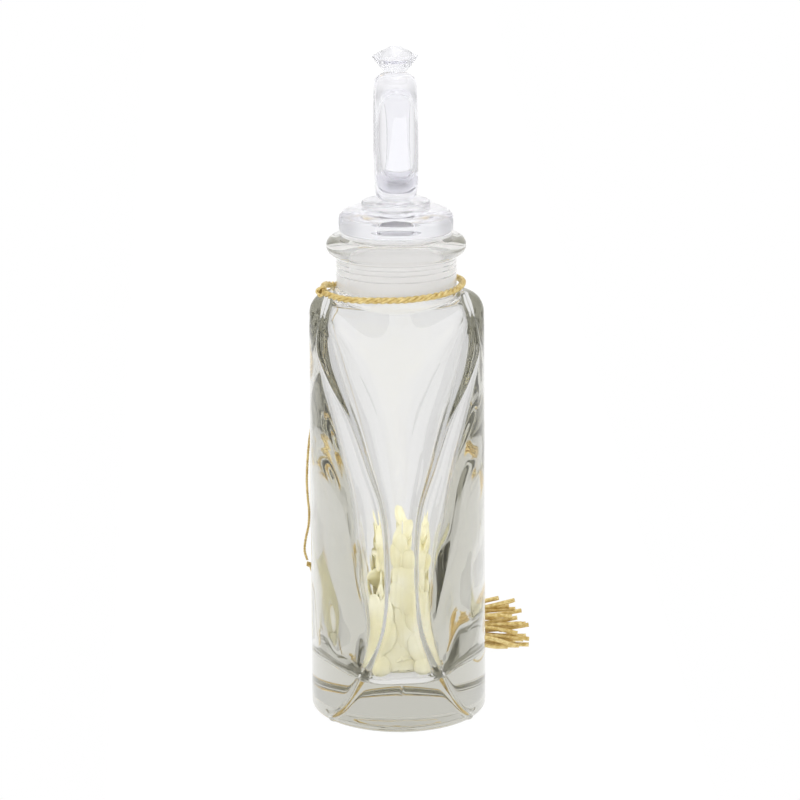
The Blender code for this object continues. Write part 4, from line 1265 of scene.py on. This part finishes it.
def gold_material():
    """Metallic gold yarn with fine filaments along its strands, with painted shade where its bump is
    low.
    """
    material, tree, shader = new_material("gold_yarn", {"Metallic": 0.6, "Roughness": 0.34})
    lay = add_node(tree, "UVMap", uv_map="lay").outputs["UV"]
    split = add_node(tree, "SeparateXYZ", {0: lay})
    slant = add_math(tree, "MULTIPLY_ADD", split.outputs["X"], YARN_SLANT, split.outputs["Y"])
    wave = add_math(tree, "SINE", add_math(tree, "MULTIPLY", slant, math.tau * YARN_FILAMENTS))
    place = add_node(tree, "TexCoord").outputs["Object"]
    grain = add_node(tree, "TexNoise", {"Vector": place, "Scale": YARN_GRAIN, "Detail": 3.0})
    total = add_math(tree, "MULTIPLY_ADD", wave, YARN_WAVE_SHARE, grain.outputs["Fac"])
    bump = add_node(tree, "Bump", {"Height": total, "Distance": YARN_BUMP, "Strength": 0.7})
    # The colour follows the bump's height: darker where it is low, in the grooves between filaments
    # and the grain's pits, which is painted shade.
    color = add_ramp(tree, total, YARN_GROOVE_SHADE_COLORS)
    set_inputs(tree, shader, {"Base Color": color, "Normal": bump.outputs[0]})
    return material


def wax_material():
    """Pale yellow wax, soft and a little translucent, cloudy from petal to petal."""
    material, tree, shader = new_material("petal_wax", {"Roughness": 0.45, "IOR": 1.35})
    place = add_node(tree, "TexCoord").outputs["Object"]
    cloud = add_node(tree, "TexNoise", {"Vector": place, "Scale": WAX_CLOUDS, "Detail": 4.0})
    color = add_ramp(tree, cloud.outputs["Fac"], WAX_COLORS)
    set_inputs(tree, shader, {"Base Color": color})
    through = add_node(tree, "BsdfTranslucent", {"Color": color}).outputs[0]
    mix = add_node(tree, "MixShader", {0: WAX_THROUGH, 1: shader.outputs[0], 2: through})
    tree.links.new(mix.outputs[0], tree.nodes["Material Output"].inputs["Surface"])
    return material


# Clear materials: surface colour, index of refraction, colour that the thickness gives, its
# density, and clarity.
BOTTLE_GLASS = ((0.9, 0.9, 0.903), 1.5, (0.683, 0.677, 0.61), 28.0, 1.0)
CLEAR_ACRYLIC = ((0.915, 0.915, 0.935), 1.49, (0.8, 0.8, 0.88), 6.0, 0.98)
# Yarn: slant and number of its filaments, grain, and depth of its bump in metres.
YARN_SLANT = 420.0
YARN_FILAMENTS = 7
YARN_GRAIN = 900.0
YARN_WAVE_SHARE = 0.22
YARN_BUMP = 0.00008
# Yarn colour by the bump's height: dark brown in the grooves between filaments (painted shade) up to
# pale gold on their crests.
YARN_GROOVE_SHADE_COLORS = ((0.25, (0.5, 0.31, 0.05)), (0.8, (1.0, 0.86, 0.45)))
# Wax: size of its clouds, and the share of light that comes through.
WAX_CLOUDS = 130.0
WAX_THROUGH = 0.35
WAX_COLORS = ((0.3, (0.85, 0.81, 0.52)), (0.7, (0.94, 0.925, 0.77)))
# The floor's reach to the sides, to the camera and to the back.
FLOOR_REACH = (0.07, 0.2, 3.0)
FLOOR_DROP = 0.0001
# Brightness of the studio round the bottle, from the camera's side (0) over the flanks (0.5)
# to the backdrop (1), and how much of the overhead light shows, by height.
STUDIO_ROUND = ((0.0, 1.0), (0.12, 0.95), (0.35, 0.76), (0.85, 0.72), (0.96, 0.95), (1.0, 1.0))
STUDIO_OVERHEAD = ((0.0, 0.0), (0.3, 0.0), (0.55, 1.0), (1.0, 1.0))
OVERHEAD_LIGHT = 1.0
# Even light that falls on what isn't clear, in the open and behind the glass.
SOFT_LIGHT = 1.25
SOFT_LIGHT_THROUGH = 3.6
# How often light is followed through clear pieces and between the others.
CLEAR_BOUNCES = 40
DIFFUSE_BOUNCES = 12


def make_world():
    """White for the eye; a studio with a bright backdrop, darker flanks and a light overhead."""
    world = bpy.data.worlds.new("studio")
    bpy.context.scene.world = world
    world.use_nodes = True
    tree = world.node_tree
    tree.nodes.clear()
    sky = add_node(tree, "TexCoord").outputs["Generated"]
    flat = add_node(tree, "VectorMath", {0: sky, 1: (1, 1, 0)}, operation="MULTIPLY")
    unit = add_node(tree, "VectorMath", {0: flat.outputs[0]}, operation="NORMALIZE")
    facing = add_node(tree, "SeparateXYZ", {0: unit.outputs[0]}).outputs["Y"]
    around = add_node(tree, "MapRange", {"Value": facing, "From Min": -1.0})
    level = add_ramp(tree, around.outputs[0], STUDIO_ROUND, "EASE")
    upright = add_node(tree, "SeparateXYZ", {0: sky}).outputs["Z"]
    above = add_ramp(tree, upright, STUDIO_OVERHEAD, "EASE")
    overhead = (OVERHEAD_LIGHT,) * 3 + (1,)
    light = add_node(tree, "Mix", {"Factor": above, "A": level, "B": overhead}, data_type="RGBA")
    studio = add_node(tree, "Background", {"Color": light.outputs["Result"]}).outputs[0]
    path = add_node(tree, "LightPath").outputs
    scattered = add_math(tree, "GREATER_THAN", path["Diffuse Depth"], 0.5)
    strengths = {"To Min": SOFT_LIGHT, "To Max": SOFT_LIGHT_THROUGH}
    through = add_node(tree, "MapRange", {"Value": path["Transmission Depth"], **strengths})
    plain = {"Color": (1, 1, 1, 1)}
    soft = add_node(tree, "Background", {**plain, "Strength": through.outputs[0]}).outputs[0]
    unseen = add_node(tree, "MixShader", {0: scattered, 1: studio, 2: soft}).outputs[0]
    white = add_node(tree, "Background", plain).outputs[0]
    seen = add_node(tree, "MixShader", {0: path["Is Camera Ray"], 1: unseen, 2: white})
    add_node(tree, "OutputWorld", {"Surface": seen.outputs[0]})
    world.cycles.sampling_method = "NONE"


def make_floor():
    """A plain pale floor."""
    sockets = {
        "Base Color": (0.03, 0.03, 0.03, 1),
        "Emission Color": (1.0, 1.0, 1.0, 1),
        "Emission Strength": 0.98,
        "Roughness": 0.8,
        "Specular IOR Level": 0.0,
    }
    side, front, back = FLOOR_REACH
    verts = [(-side, -front, 0), (side, -front, 0), (side, back, 0), (-side, back, 0)]
    material = new_material("pale_floor", sockets)[0]
    floor = mesh_object("floor", verts, [(0, 1, 2, 3)], material, False)
    floor.location.z = -FLOOR_DROP


def make_camera():
    """The photograph's view."""
    data = bpy.data.cameras.new("camera")
    data.lens = CAMERA_LENS
    data.sensor_width = SENSOR
    data.clip_end = 20
    camera = bpy.data.objects.new("camera", data)
    bpy.context.scene.collection.objects.link(camera)
    away = Vector((-math.sin(CAMERA_AZIMUTH), -math.cos(CAMERA_AZIMUTH), 0)) * CAMERA_DISTANCE
    camera.location = away + Vector((0, 0, CAMERA_HEIGHT))
    toward = Vector(CAMERA_TARGET) - camera.location
    look = toward.to_track_quat("-Z", "Y").to_matrix() @ Matrix.Rotation(CAMERA_ROLL, 3, "Z")
    camera.rotation_euler = look.to_euler()
    bpy.context.scene.camera = camera


make_camera()
make_world()
make_floor()
gold = gold_material()
make_cords(gold)
glass = clear_material("bottle_glass", *BOTTLE_GLASS)
make_glass(glass)
acrylic = clear_material("clear_acrylic", *CLEAR_ACRYLIC)
seat = make_plug(plug_material())
seat = make_discs(acrylic, seat)
seat = make_ring(acrylic, seat)
make_gem(acrylic, seat)
wax = wax_material()
make_petals(wax)
make_wall_petals(wax)
scene = bpy.context.scene
scene.view_settings.view_transform = "Standard"
scene.cycles.max_bounces = CLEAR_BOUNCES
scene.cycles.glossy_bounces = CLEAR_BOUNCES
scene.cycles.transmission_bounces = CLEAR_BOUNCES
scene.cycles.diffuse_bounces = DIFFUSE_BOUNCES
